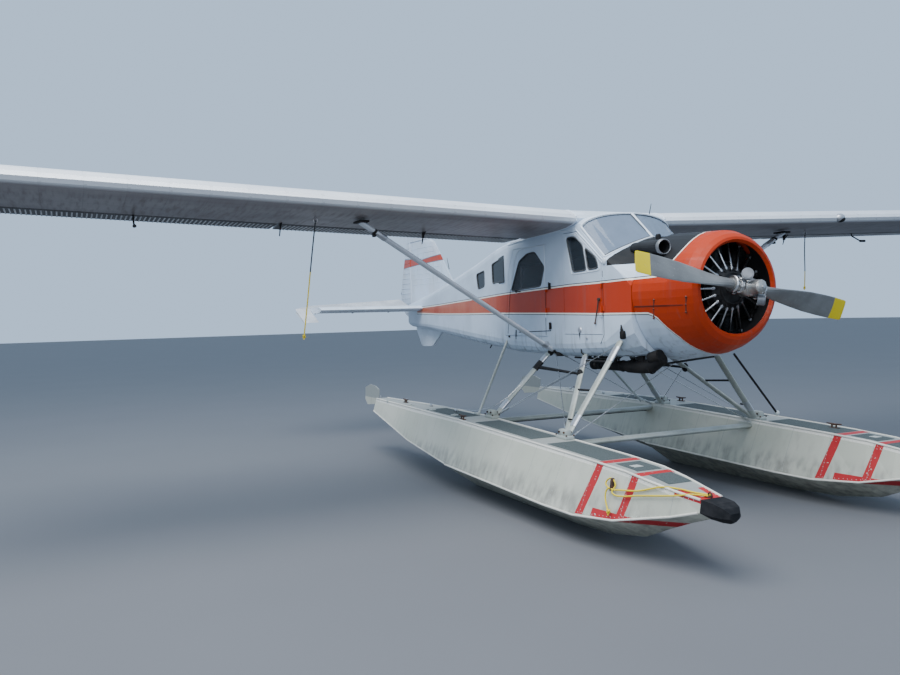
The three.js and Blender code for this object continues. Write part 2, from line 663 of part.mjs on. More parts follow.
/** Tapers the elevator behind its hinge and rakes its tip, point by point. */
function taperElevator(point) {
  const behind = TAILPLANE_CHORD * (1 - TAILPLANE_HINGE);
  const share = Math.max(0, -point[0]) / behind;
  const out = (point[1] - ELEVATOR_INNER) / (TAIL_HALF_SPAN - ELEVATOR_INNER);
  if (share > 0) point[0] *= (ELEVATOR_ROOT + (ELEVATOR_END - ELEVATOR_ROOT) * out) / behind;
  point[1] -= ELEVATOR_RAKE * share * out;
}

for (const [label, turn] of [['port', (solid) => solid], ['starboard', mirrored]]) {
  const rings = [0, TAILPLANE_TIP].map((y) => wingRing(y, TAILPLANE_AFT, TAILPLANE_HEIGHT,
    TAILPLANE_CHORD, 0, TAILPLANE_THICKNESS, 0));
  const elevator = controlSurface(ELEVATOR_INNER, TAIL_HALF_SPAN, TAILPLANE_CHORD, 0, TAILPLANE_HINGE,
    TAILPLANE_THICKNESS, 0);
  const behind = block(elevatorHinge - elevator.radius - RUNNING_GAP, 9000, -10, 3000, -500, 500);
  let fixed = loft(rings).subtract(behind);
  fixed = clearOf(fixed, rearFuselageSolid).decompose().sort((a, b) => b.volume() - a.volume())[0];
  const hingeAt = (y) => vec(elevatorHinge, y, TAILPLANE_HEIGHT);
  const collarFoot = block(elevatorHinge - 60, elevatorHinge - 30, 144, 164,
    TAILPLANE_HEIGHT - 14, TAILPLANE_HEIGHT + 14);
  const collar = join(rod(hingeAt(144), hingeAt(164), 42), collarFoot)
    .subtract(rod(hingeAt(130), hingeAt(175), TUBE_RADIUS + 0.5, 32));
  piece(`tailplane_${label}`, turn(fixed.add(collar)), 'white');
  const horn = plate([[-560, -12], [-600, 0], [-560, 12], [60, 26], [60, -26]], TAILPLANE_TIP + RUNNING_GAP,
    TAIL_HALF_SPAN);
  const moved = elevator.solid.translate([elevator.hingeAt[0], 0, -elevator.hingeAt[1]]);
  elevatorHalves.push(turn(moved.add(horn).warp(taperElevator)));
}
const elevatorTube = rod(vec(0, -180, 0), vec(0, 180, 0), TUBE_RADIUS, 32);
piece('elevator', join(elevatorTube, ...elevatorHalves), 'corrugated', elevatorGroup);

const VENTRAL = [[6900, -350], [7480, -700], [7560, -720], [7930, -728], [8010, -695], [8230, -410],
  [8230, -250]];
piece('ventral_fin', clearOf(plate(VENTRAL, -18, 18), rearFuselageSolid).decompose()
  .sort((a, b) => b.volume() - a.volume())[0], 'white');

// Cowl. Columns: aft, radius, share of the deeper chin below, share of the lowered shoulders above,
// share by which the row moves forward over the top
const CHIN = 115;
const SHOULDER = 65;
const TOP_FORWARD = 180;
const COWL = [
  [100, 474, 0, 0, 0], [108, 500, 0.05, 0, 0], [150, 536, 0.2, 0, 0], [230, 560, 0.4, 0, 0.1],
  [340, 572, 0.63, 0, 0.6], [470, COWL_RADIUS, 0.84, 0, 1], [476, COWL_RADIUS, 0.84, 1, 1],
  [970, 615, 1, 1, 0], [970, 597, 1, 1, 0], [476, 556, 0.84, 1, 1], [300, 546, 0.5, 0, 0.4],
  [200, 510, 0.25, 0, 0], [132, COWL_OPENING, 0, 0, 0],
];
const COWL_SIDES = 48;
const cowlRings = [];
for (let step = 0; step < COWL_SIDES; step += 1) {
  const angle = (step / COWL_SIDES) * 2 * Math.PI;
  const below = Math.max(0, -Math.sin(angle)) ** 3;
  const above = Math.max(0, Math.sin(angle)) ** 2;
  const shoulder = angle < Math.PI ? Math.sin(2 * angle) ** 2 : 0;
  cowlRings.push(COWL.map(([aft, radius, chin, lowered, forward]) => {
    const reach = radius + CHIN * chin * below - SHOULDER * lowered * shoulder;
    return vec(aft - TOP_FORWARD * forward * above, reach * Math.cos(angle), reach * Math.sin(angle));
  }));
}

/** A solid swept round a closed loop of rings. */
function sweptLoop(rings) {
  const count = rings[0].length;
  const faces = [];
  rings.forEach((ring, r) => ring.forEach((point, k) => {
    const next = (r + 1) % rings.length;
    const [a, b] = [r * count + k, r * count + (k + 1) % count];
    const [c, d] = [next * count + (k + 1) % count, next * count + k];
    faces.push([a, b, c], [a, c, d]);
  }));
  return closedSolid(rings.flat(), faces);
}
piece('cowl_ring', sweptLoop(cowlRings), 'orange');

// Engine: crankcase, cylinders, and one plain block for the accessories, oil tank and mount behind them
const ACCESSORY_RADIUS = 500;
const engineCase = turned([[112, 0], [112, 52], [170, 60], [185, 150], [240, 215], [300, 250], [560, 250],
  [590, ACCESSORY_RADIUS - 30], [610, ACCESSORY_RADIUS], [FIREWALL_AFT - 5, ACCESSORY_RADIUS],
  [FIREWALL_AFT - 5, 180], [FIREWALL_AFT - GAP, 180], [FIREWALL_AFT - GAP, 0]], 36);
let engine = engineCase;
for (let index = 0; index < CYLINDERS; index += 1) {
  const angle = (index / CYLINDERS) * 2 * Math.PI + Math.PI / 2;
  const reach = (radius, aft, side = 0) => vec(aft, radius * Math.cos(angle) - side * Math.sin(angle),
    radius * Math.sin(angle) + side * Math.cos(angle));
  engine = join(engine,
    rod(reach(200, ENGINE_AFT), reach(470, ENGINE_AFT), 72, 14),
    rod(reach(460, ENGINE_AFT), reach(ENGINE_RADIUS, ENGINE_AFT), 84, 14, 70),
    rod(reach(190, 230, -33), reach(505, 350, -88), 9, 8),
    rod(reach(190, 230, 33), reach(505, 350, 88), 9, 8));
}
// The engine mount carries the cowl through a ring behind the cylinders
for (const angle of [45, 135, 225, 315].map(THREE.MathUtils.degToRad)) {
  const end = (radius, aft) => vec(aft, radius * Math.cos(angle), radius * Math.sin(angle));
  engine = engine.add(rod(end(280, 650), end(606, 720), 12, 8));
}
piece('engine', clearOf(engine, sweptLoop(cowlRings)).decompose()
  .sort((a, b) => b.volume() - a.volume())[0], 'engine');

// Propeller
const propeller = new THREE.Group();
propeller.rotation.x = -PROP_REST;
airframe.add(propeller);
const BLADE_ROOT = 190;
const hub = join(
  turned([[-215, 0], [-215, 40], [-200, 66], [-90, 70], [-80, 84], [60, 84], [112 - GAP, 60],
    [112 - GAP, 0]], 28),
  rod(vec(0, -BLADE_ROOT, 0), vec(0, BLADE_ROOT, 0), 72, 20),
);
const counterweights = [1, -1].map((side) => join(
  block(-150, -20, side > 0 ? 95 : -135, side > 0 ? 135 : -95, side > 0 ? -105 : 25, side > 0 ? -25 : 105),
  block(-60, 0, side > 0 ? 60 : -125, side > 0 ? 125 : -60, side > 0 ? -60 : 0, side > 0 ? 0 : 60),
));
piece('propeller_hub', join(hub, ...counterweights), 'silver', propeller);

// Blade sections. Columns: radius, chord, thickness, blade angle in degrees
const BLADE = [
  [BLADE_ROOT + GAP, 104, 100, 50], [300, 130, 70, 46], [450, 156, 40, 38], [600, 184, 30, 32],
  [800, 214, 22, 26], [1000, 222, 17, 21], [1150, 220, 12, 17], [PROP_RADIUS - 25, 208, 10, 14],
  [PROP_RADIUS, 188, 8, 14],
];
const BLADE_SIDES = 14;
function bladeRing([radius, chord, thickness, degrees]) {
  const angle = THREE.MathUtils.degToRad(degrees);
  const ring = [];
  for (let step = 0; step < BLADE_SIDES; step += 1) {
    const around = (step / BLADE_SIDES) * 2 * Math.PI;
    const [across, out] = [(chord / 2) * Math.cos(around), (thickness / 2) * Math.sin(around)];
    ring.push(vec(-across * Math.sin(angle) - out * Math.cos(angle), radius,
      across * Math.cos(angle) - out * Math.sin(angle)));
  }
  return ring;
}
const blade = loft(BLADE.map(bladeRing));
piece('propeller_blade_1', blade, 'blade', propeller);
piece('propeller_blade_2', blade.rotate([180, 0, 0]), 'blade', propeller);

// Air scoop on the starboard side of the nose deck and exhaust under the belly
const scoopFrom = vec(700, -405, 447);
const scoopTo = vec(1250, -345, 476);
const scoopShape = rod(scoopFrom, scoopTo, 78, 20, 62).subtract(
  rod(vec(690, -406, 446), vec(960, -377, 461), 64, 20));
piece('air_scoop', clearOf(clearOf(scoopShape, fuselageOuter), sweptLoop(cowlRings)).decompose()
  .sort((a, b) => b.volume() - a.volume())[0], 'black');

const exhaustPath = [vec(870, -305, -690), vec(1030, -330, -790), vec(1500, -330, -805),
  vec(2080, -330, -805)];
const exhaustSolid = join(...exhaustPath.slice(1).map((point, i) => rod(exhaustPath[i], point, 58, 16)),
  block(1150, 1250, -350, -310, -790, -670), block(1850, 1950, -350, -310, -790, -670));
piece('exhaust_pipe', clearOf(clearOf(exhaustSolid, fuselageOuter), sweptLoop(cowlRings)).decompose()
  .sort((a, b) => b.volume() - a.volume())[0], 'black');

// Floats. Columns: aft, deck half width, deck height, chine half width, chine height, keel height
const FLOAT = [
  [-1110, 104, -1658, 120, -1755, -1815],
  [-860, 150, -1628, 205, -1830, -1905],
  [-600, 184, -1590, 275, -1890, -2010],
  [-300, 200, -1552, 350, -1960, -2140],
  [200, 215, -1525, 425, -2005, -2225],
  [700, 218, -1507, 440, -2005, -THRUST_Z],
  [2930, 222, -1440, 430, -1965, -THRUST_Z],
  [2950, 222, -1440, 426, -1958, -2165],
  [4300, 200, -1432, 350, -1850, -1985],
  [6200, 90, -1450, 150, -1640, -1700],
];
function floatRing([aft, deckHalf, deck, chineHalf, chine, keel]) {
  return [[-KEEL_HALF, keel], [-chineHalf, chine], [-deckHalf, deck], [deckHalf, deck], [chineHalf, chine],
    [KEEL_HALF, keel]].map(([y, height]) => vec(aft, y, height));
}
const floatSolid = loft(FLOAT.map(floatRing));
const STERN = FLOAT[FLOAT.length - 1];

/** The rubber bumper on a float's bow. */
function bowBumper() {
  const [aft, deckHalf, deck, chineHalf, chine, keel] = FLOAT[0];
  const ring = (at, scale, lowered) => {
    const middle = (deck + keel) / 2;
    const moved = (height) => middle - lowered + (height - middle) * scale;
    return floatRing([at, deckHalf * scale, moved(deck), chineHalf * scale, moved(chine), moved(keel)]);
  };
  return loft([ring(aft - GAP, 1.04, 0), ring(-1240, 0.97, 6), ring(-1315, 0.76, 14),
    ring(-BOW_AHEAD, 0.4, 22)]);
}

/** Height of the float's deck at a distance aft. */
function deckHeight(aft) {
  const next = FLOAT.findIndex((row) => row[0] >= aft);
  const [from, to] = [FLOAT[next - 1], FLOAT[next]];
  return from[2] + ((aft - from[0]) / (to[0] - from[0])) * (to[2] - from[2]);
}

const RUDDER_POST_AFT = STERN[0] + 60;
for (const [side, label] of [[1, 'port'], [-1, 'starboard']]) {
  const group = new THREE.Group();
  group.position.y = side * FLOAT_Y;
  airframe.add(group);
  const gudgeons = [-1480, -1660].map((height) => block(STERN[0] - 30, RUDDER_POST_AFT - 11 - GAP, -14, 14,
    height - 14, height));
  piece(`float_${label}`, join(floatSolid, ...gudgeons), 'float', group);
  piece(`bow_bumper_${label}`, bowBumper(), 'rubber', group);
  const post = join(
    rod(vec(RUDDER_POST_AFT, 0, -1700), vec(RUDDER_POST_AFT, 0, -1420), 11, 12),
    block(RUDDER_POST_AFT, RUDDER_POST_AFT + 70, -22, -12, -1560, -1500),
    block(RUDDER_POST_AFT, RUDDER_POST_AFT + 70, 12, 22, -1560, -1500),
    block(RUDDER_POST_AFT, RUDDER_POST_AFT + 20, -22, 22, -1560, -1500),
  );
  piece(`water_rudder_post_${label}`, post, 'silver', group);
  const pivot = [RUDDER_POST_AFT + 50, -1530];
  const bladeOutline = [[-16, -16], [110, -30], [560, -75], [680, 10], [650, 200], [420, 262], [180, 250],
    [10, 205], [30, 60], [-16, 16]]
    .map(([aft, up]) => [pivot[0] + aft, pivot[1] + up]);
  const pin = rod(vec(pivot[0], -12 + GAP, pivot[1]), vec(pivot[0], 12 - GAP, pivot[1]), 8, 12);
  piece(`water_rudder_blade_${label}`, join(plate(bladeOutline, -6, 6), pin), 'float', group);

  const own = placed(join(floatSolid, ...gudgeons), group);
  const foot = ([aft, y], lower) => vec(aft, side * y, deckHeight(aft) - lower);
  const seat = (solid) => clearOf(clearOf(solid, fuselageOuter), own).decompose()
    .sort((a, b) => b.volume() - a.volume())[0];
  const frontFoot = foot(FRONT_FOOT, 20);
  const frontLegs = join(strut(frontFoot, vec(1225, side * 530, -450), 95, 46),
    strut(frontFoot, vec(1980, side * 500, -620), 80, 40));
  piece(`front_struts_${label}`, seat(frontLegs), 'white');
  const rearLeg = seat(strut(foot(REAR_FOOT, 20), vec(2640, side * 520, -600), 95, 46));
  piece(`rear_strut_${label}`, rearLeg, 'white');
  const thinLeg = seat(rod(foot([3270, 1275], 20), vec(3700, side * 560, -480), 17, 12));
  piece(`access_strut_${label}`, thinLeg, 'white');
}

// Spreader bars between the floats
const bothFloats = join(floatSolid.translate([0, FLOAT_Y, 0]), floatSolid.translate([0, -FLOAT_Y, 0]));
for (const [name, aft, height] of [['front_spreader', 1257, -1565], ['rear_spreader', 3044, -1512]]) {
  const bar = strut(vec(aft, -FLOAT_Y, height), vec(aft, FLOAT_Y, height), 120, 60);
  const middle = clearOf(bar, bothFloats).decompose().sort((a, b) => b.volume() - a.volume())[0];
  piece(name, middle, 'silver');
}

// Cabin furniture
/** A seat at a place: cushion, back and pedestal. */
function seatSolid(aft, y, halfWidth) {
  return join(
    block(aft - 230, aft + 230, y - halfWidth, y + halfWidth, -150, -40),
    block(aft + 170, aft + 270, y - halfWidth, y + halfWidth, -150, 470),
    block(aft - 150, aft + 200, y - halfWidth + 50, y + halfWidth - 50, FLOOR_HEIGHT + GAP, -140),
  );
}
piece('pilot_seat', seatSolid(2080, 290, 220), 'leather');
piece('copilot_seat', seatSolid(2080, -290, 220), 'leather');
piece('cabin_bench', seatSolid(3150, 0, 540), 'leather');
piece('instrument_panel', plate([[1440, 100], [1500, 100], [1470, 360], [1400, 360]], -540, 540)
  .add(block(1420, 1490, -60, 60, FLOOR_HEIGHT + GAP, 120)), 'black');

// Ropes that hang from the wings' tie-down rings, each with a knot at its end.
// Columns: label, offset to port, offset at the knot, length below the wing
const ROPE_RADIUS = 6;
const ROPE_TOP = WING_HEIGHT + TIE_Y * Math.sin(DIHEDRAL) - 150 * Math.cos(DIHEDRAL) - 4 * GAP;
const ROPES = [['port', 3530, 3500, 768], ['starboard', -3530, -3690, 1208]];
for (const [label, y, endY, drop] of ROPES) {
  const curve = new THREE.CatmullRomCurve3([0, 0.33, 0.66, 1].map((share) => vec(
    2457 + 6 * Math.sin(share * 6), y + (endY - y) * share, ROPE_TOP - drop * share)));
  const section = new THREE.Shape().absarc(0, 0, ROPE_RADIUS, 0, 2 * Math.PI);
  const options = { steps: 24, extrudePath: curve, curveSegments: 4, bevelEnabled: false };
  const rope = new THREE.ExtrudeGeometry(section, options);
  const knot = new THREE.SphereGeometry(18, 10, 8).translate(-2457 - 6 * Math.sin(6), endY, ROPE_TOP - drop);
  piece(`wing_rope_${label}`, toSolid(rope).add(toSolid(knot)), 'rope');
}

export default floatplane;
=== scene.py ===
"""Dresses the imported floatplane: paint, trim, rigging, fittings, cabin and a plain studio."""

from __future__ import annotations

import json
import logging
import math
from dataclasses import dataclass, field
from enum import Enum
from typing import Iterable, Sequence, Union

import bmesh
import bpy
from mathutils import Matrix, Vector

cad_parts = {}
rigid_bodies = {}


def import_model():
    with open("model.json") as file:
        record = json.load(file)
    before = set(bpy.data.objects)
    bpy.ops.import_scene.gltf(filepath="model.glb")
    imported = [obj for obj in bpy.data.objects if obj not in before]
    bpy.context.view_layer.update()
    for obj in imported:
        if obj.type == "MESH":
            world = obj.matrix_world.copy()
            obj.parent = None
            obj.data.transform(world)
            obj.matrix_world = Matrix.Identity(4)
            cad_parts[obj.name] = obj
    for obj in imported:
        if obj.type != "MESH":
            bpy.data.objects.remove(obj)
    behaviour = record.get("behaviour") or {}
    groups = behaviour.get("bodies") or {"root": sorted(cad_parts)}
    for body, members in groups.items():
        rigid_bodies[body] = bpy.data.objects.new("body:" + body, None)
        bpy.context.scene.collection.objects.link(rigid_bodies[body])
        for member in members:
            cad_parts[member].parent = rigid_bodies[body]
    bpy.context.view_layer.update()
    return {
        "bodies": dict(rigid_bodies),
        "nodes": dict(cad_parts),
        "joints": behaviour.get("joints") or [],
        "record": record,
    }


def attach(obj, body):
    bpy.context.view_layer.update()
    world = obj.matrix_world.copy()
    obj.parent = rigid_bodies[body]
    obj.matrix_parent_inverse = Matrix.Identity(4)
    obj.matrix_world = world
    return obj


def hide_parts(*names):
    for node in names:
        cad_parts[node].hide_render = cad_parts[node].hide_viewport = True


LOG = logging.getLogger("floatplane")

PROP_X = 3.815
THRUST_Z = 2.250
PROP_REST = math.radians(10.8)
DIHEDRAL = math.radians(2.2)
FLOAT_Y = 1.48
SIDES = {"port": 1.0, "starboard": -1.0}
AHEAD = Vector((1, 0, 0))
PORT = Vector((0, 1, 0))
UP = Vector((0, 0, 1))

Point = tuple[float, float, float]
Feed = Union["Value", "bpy.types.NodeSocket", float, Sequence[float]]


def at(aft: float, y: float, height: float) -> Vector:
    """Returns the point a distance aft of the propeller, to port and above the thrust line."""
    return Vector((PROP_X - aft, y, THRUST_Z + height))


class Slot(Enum):
    """The record's material slots."""

    WHITE = "white"
    ORANGE = "orange"
    BLACK = "black"
    METAL = "bare_metal"
    CORRUGATED = "corrugated"
    ENGINE = "engine"
    BLADE = "blade"
    FLOAT = "float"
    RUBBER = "rubber"
    GLASS = "glass"
    UPHOLSTERY = "upholstery"
    ROPE = "rope"


@dataclass(frozen=True)
class Value:
    """A shader socket that takes part in Python arithmetic."""

    graph: "Graph"
    socket: bpy.types.NodeSocket

    def _math(self, operation: str, *others: Feed) -> "Value":
        """Returns the result of one Math node.

        Args:
            operation: The Math node's operation.
            others: The operands after this one.

        Returns:
            The node's output.
        """
        made = self.graph.node(
            "ShaderNodeMath", {"operation": operation}, {0: self, **dict(enumerate(others, 1))}
        )
        return Value(self.graph, made.outputs[0])

    def __add__(self, other: Feed) -> "Value":
        """Adds."""
        return self._math("ADD", other)

    __radd__ = __add__

    def __sub__(self, other: Feed) -> "Value":
        """Subtracts."""
        return self._math("SUBTRACT", other)

    def __rsub__(self, other: float) -> "Value":
        """Subtracts this from a number."""
        return self._math("MULTIPLY", -1.0) + other

    def __mul__(self, other: Feed) -> "Value":
        """Multiplies."""
        return self._math("MULTIPLY", other)

    __rmul__ = __mul__

    def __truediv__(self, other: Feed) -> "Value":
        """Divides."""
        return self._math("DIVIDE", other)

    def __abs__(self) -> "Value":
        """Returns the magnitude."""
        return self._math("ABSOLUTE")

    def __gt__(self, other: Feed) -> "Value":
        """Returns 1 where this is the greater."""
        return self._math("GREATER_THAN", other)

    def __lt__(self, other: Feed) -> "Value":
        """Returns 1 where this is the lesser."""
        return self._math("LESS_THAN", other)

    def __mod__(self, other: Feed) -> "Value":
        """Returns the positive remainder."""
        return self._math("FLOORED_MODULO", other)

    def between(self, low: Feed, high: Feed) -> "Value":
        """Returns 1 between two limits."""
        return (self > low) * (self < high)

    def ramp(self, low: float, high: float, start: float = 0.0, end: float = 1.0) -> "Value":
        """Maps a range smoothly to another.

        Args:
            low: Where the result is start.
            high: Where the result is end.
            start: The result at low.
            end: The result at high.

        Returns:
            The mapped value, clamped.
        """
        made = self.graph.node(
            "ShaderNodeMapRange",
            {"interpolation_type": "SMOOTHSTEP"},
            {0: self, 1: low, 2: high, 3: start, 4: end},
        )
        return Value(self.graph, made.outputs[0])

    def most(self, other: Feed) -> "Value":
        """Returns the greater of two."""
        return self._math("MAXIMUM", other)

    def root(self) -> "Value":
        """Returns the square root."""
        return self._math("SQRT")

    def line(self, every: float, width: float, offset: float = 0.0) -> "Value":
        """Returns 1 on lines of a width that repeat at a distance."""
        return ((self + offset) % every) < width


class Graph:
    """Builds one node material."""

    def __init__(self, name: str) -> None:
        """Starts an empty material with an output."""
        self.material = bpy.data.materials.new(name)
        self.material.use_nodes = True
        self.tree = self.material.node_tree
        self.tree.nodes.clear()
        self.output = self.node("ShaderNodeOutputMaterial")
        self.place = self.node("ShaderNodeTexCoord").outputs["Object"]
        parts = self.node("ShaderNodeSeparateXYZ", None, {0: self.place})
        self.x, self.y, self.z = (Value(self, socket) for socket in parts.outputs)

    def node(
        self, kind: str, settings: dict[str, object] | None = None, feeds: dict[object, Feed] | None = None
    ) -> bpy.types.Node:
        """Adds one node.

        Args:
            kind: The node's type.
            settings: Its properties, set first; "stops" gives a ramp's stops.
            feeds: The values or links of its inputs.

        Returns:
            The node.
        """
        made = self.tree.nodes.new(kind)
        settings = dict(settings or {})
        stops = settings.pop("stops", None)
        for name, value in settings.items():
            setattr(made, name, value)
        if stops:
            while len(made.color_ramp.elements) < len(stops):
                made.color_ramp.elements.new(0.5)
            for element, (position, colour) in zip(made.color_ramp.elements, stops):
                element.position, element.color = position, (*colour, 1.0)
        for name, value in (feeds or {}).items():
            socket = made.inputs[name]
            if isinstance(value, Value):
                self.tree.links.new(value.socket, socket)
            elif isinstance(value, bpy.types.NodeSocket):
                self.tree.links.new(value, socket)
            elif isinstance(value, (int, float)) or socket.type != "RGBA":
                socket.default_value = value
            else:
                socket.default_value = (*value, 1.0)[:4]
        return made

    def curve(self, value: Value, points: Sequence[tuple[float, float]]) -> Value:
        """Reads a curve through points.

        Args:
            value: Where along the curve.
            points: Pairs of position and result, in order.

        Returns:
            The curve's height there.
        """
        (start, _), (end, _) = points[0], points[-1]
        low = min(height for _, height in points)
        span = max(height for _, height in points) - low
        made = self.node("ShaderNodeFloatCurve", None, {"Value": (value - start) / (end - start)})
        line = made.mapping.curves[0]
        for _ in range(len(points) - 2):
            line.points.new(0.5, 0.5)
        for knot, (position, height) in zip(line.points, points):
            knot.location = ((position - start) / (end - start), (height - low) / span)
            knot.handle_type = "VECTOR"
        made.mapping.update()
        return Value(self, made.outputs[0]) * span + low

    def noise(self, scale: float, detail: float = 3.0, stretch: Point = (1.0, 1.0, 1.0)) -> Value:
        """Returns noise from 0 to 1 of a scale per metre, stretched along the axes."""
        moved = self.node("ShaderNodeMapping", None, {"Vector": self.place, "Scale": stretch})
        made = self.node(
            "ShaderNodeTexNoise", None, {"Vector": moved.outputs[0], "Scale": scale, "Detail": detail}
        )
        return Value(self, made.outputs[0])

    def mix(self, first: Feed, second: Feed, factor: Feed) -> bpy.types.NodeSocket:
        """Returns a colour between two colours."""
        made = self.node("ShaderNodeMix", {"data_type": "RGBA"}, {0: factor, 6: first, 7: second})
        return made.outputs[2]

    def bump(self, height: Feed, distance: float = 0.002, strength: float = 1.0) -> bpy.types.NodeSocket:
        """Returns a normal from a height in metres' share of a distance."""
        made = self.node(
            "ShaderNodeBump", None, {"Strength": strength, "Distance": distance, "Height": height}
        )
        return made.outputs[0]

    def surface(self, **feeds: Feed) -> bpy.types.Material:
        """Ends the material in a Principled shader.

        Args:
            feeds: The shader's inputs, with underscores for spaces.

        Returns:
            The material.
        """
        named = {name.replace("_", " "): value for name, value in feeds.items()}
        made = self.node("ShaderNodeBsdfPrincipled", None, named)
        self.tree.links.new(made.outputs[0], self.output.inputs[0])
        return self.material


WHITE = (0.58, 0.675, 0.79)
ORANGE = (0.44, 0.032, 0.0012)
PINSTRIPE = (0.018, 0.02, 0.03)
CREAM = (0.83, 0.8, 0.72)
DECK_BLACK = (0.010, 0.011, 0.013)
GRIME = (0.12, 0.11, 0.1)

# The band's edges: distance aft and height above the thrust line
BAND_TOP = [(0.48, 0.144), (0.70, 0.132), (1.52, 0.115), (2.11, 0.11), (3.55, 0.07), (4.42, 0.04),
            (5.5, 0.01), (6.5, -0.02), (7.79, -0.046)]
BAND_BOTTOM = [(0.34, -0.74), (0.384, -0.621), (0.439, -0.552), (0.484, -0.469), (0.542, -0.407),
               (0.598, -0.347), (0.656, -0.274), (0.714, -0.235), (0.776, -0.215), (1.53, -0.21),
               (2.56, -0.19), (3.84, -0.17), (5.44, -0.16), (6.5, -0.148), (7.79, -0.119)]
BAND_END = 7.79
DECK_LINE = 0.30
DECK_END = 1.385
FIN_BAND_TOP = [(6.90, 0.888), (7.10, 0.875), (7.89, 0.832), (8.105, 0.870), (8.70, 0.891), (9.00, 0.90)]
FIN_BAND_BOTTOM = [(6.90, 0.790), (6.978, 0.786), (8.112, 0.763), (8.71, 0.739), (9.00, 0.73)]

# The floats' deck height, chine height and deck half width at distances aft
FLOAT_DECK = [(-1.11, -1.658), (-0.86, -1.628), (-0.60, -1.590), (-0.30, -1.552), (0.20, -1.525),
              (0.70, -1.507), (2.93, -1.440), (6.20, -1.445)]
FLOAT_CHINE = [(-1.11, -1.755), (-0.86, -1.830), (-0.60, -1.890), (-0.30, -1.960), (0.20, -2.005),
               (0.70, -2.005), (2.93, -1.965), (6.20, -1.64)]
FLOAT_HALF = [(-1.11, 0.104), (-0.86, 0.150), (-0.60, 0.184), (-0.30, 0.200), (0.20, 0.215), (0.70, 0.218),
              (2.93, 0.222), (4.30, 0.200), (6.20, 0.09)]


@dataclass(frozen=True)
class Livery:
    """The fuselage's gloss paint: white, an orange band with pinstripes, an orange nose, a black deck."""

    name: str = "livery_paint"
    ring_slope: float = 0.243
    ring_aft: float = 0.527
    ring_level: float = 0.27
    ring_foot: float = 0.1
    cream_width: float = 0.018
    dark_width: float = 0.009
    worn_white: Point = (0.50, 0.585, 0.68)
    faded_orange: Point = (0.50, 0.125, 0.06)
    deep_orange: Point = (0.37, 0.026, 0.001)

    def material(self) -> bpy.types.Material:
        """Returns the material."""
        graph = Graph(self.name)
        aft = PROP_X - graph.x
        height = graph.z - THRUST_Z
        top = graph.curve(aft, BAND_TOP)
        bottom = graph.curve(aft, BAND_BOTTOM)
        ring_edge = self.ring_aft - (height - self.ring_level) * self.ring_slope
        ring = (aft < ring_edge) * (height > self.ring_foot)
        cream, dark = self.cream_width, self.cream_width + self.dark_width
        ring_cream = (aft < ring_edge + cream) * (height > self.ring_foot)

        def band(grow: float) -> Value:
            """Returns the band widened by a distance."""
            return (height < top + grow) * (height > bottom - grow) * (aft < BAND_END + grow)

        patchy = graph.noise(2.3, 4.0)
        fine = graph.noise(55.0, 3.0)
        drips = graph.noise(5.0, 3.0, (3.0, 3.0, 0.25))
        low = (height * -1.0).ramp(0.25, 0.75)
        white = graph.mix(WHITE, self.worn_white, patchy.ramp(0.35, 0.7))
        white = graph.mix(white, GRIME, low * drips.ramp(0.5, 0.72) * 0.55)
        deck = (height > DECK_LINE) * (aft < DECK_END)
        colour = graph.mix(white, DECK_BLACK, deck)
        colour = graph.mix(colour, PINSTRIPE, band(dark))
        colour = graph.mix(colour, CREAM, band(cream).most(ring_cream))
        faded = graph.mix(ORANGE, self.faded_orange, aft.ramp(2.9, 5.2))
        faded = graph.mix(faded, self.deep_orange, patchy.ramp(0.4, 0.75) * 0.6)
        faded = graph.mix(faded, GRIME, drips.ramp(0.56, 0.8) * 0.25)
        colour = graph.mix(colour, faded, band(0.0).most(ring))
        waves = graph.noise(9.0, 2.0)
        return graph.surface(
            Base_Color=colour,
            Roughness=0.32 + fine * 0.1 + low * 0.16 + deck * 0.25,
            Specular_IOR_Level=0.28,
            Coat_Weight=0.06,
            Coat_Roughness=0.12,
            Normal=graph.bump(waves, 0.004, 0.35),
        )


@dataclass(frozen=True)
class Paint:
    """A plain paint with colour drift, grime and small dents."""

    name: str
    colour: Point
    second: Point
    grime: float = 0.2
    roughness: float = 0.4
    metallic: float = 0.0
    coat: float = 0.2
    dents: float = 0.25
    scale: float = 3.0
    specular: float = 0.45

    def material(self) -> bpy.types.Material:
        """Returns the material."""
        graph = Graph(self.name)
        drift = graph.noise(self.scale, 4.0)
        fine = graph.noise(self.scale * 18.0, 3.0)
        colour = graph.mix(self.colour, self.second, drift.ramp(0.35, 0.68))
        colour = graph.mix(colour, GRIME, fine.ramp(0.55, 0.8) * self.grime)
        return graph.surface(
            Base_Color=colour,
            Roughness=self.roughness + fine * 0.14,
            Metallic=self.metallic,
            Specular_IOR_Level=self.specular,
            Coat_Weight=self.coat,
            Coat_Roughness=0.2,
            Normal=graph.bump(drift + fine * 0.2, 0.003, self.dents),
        )


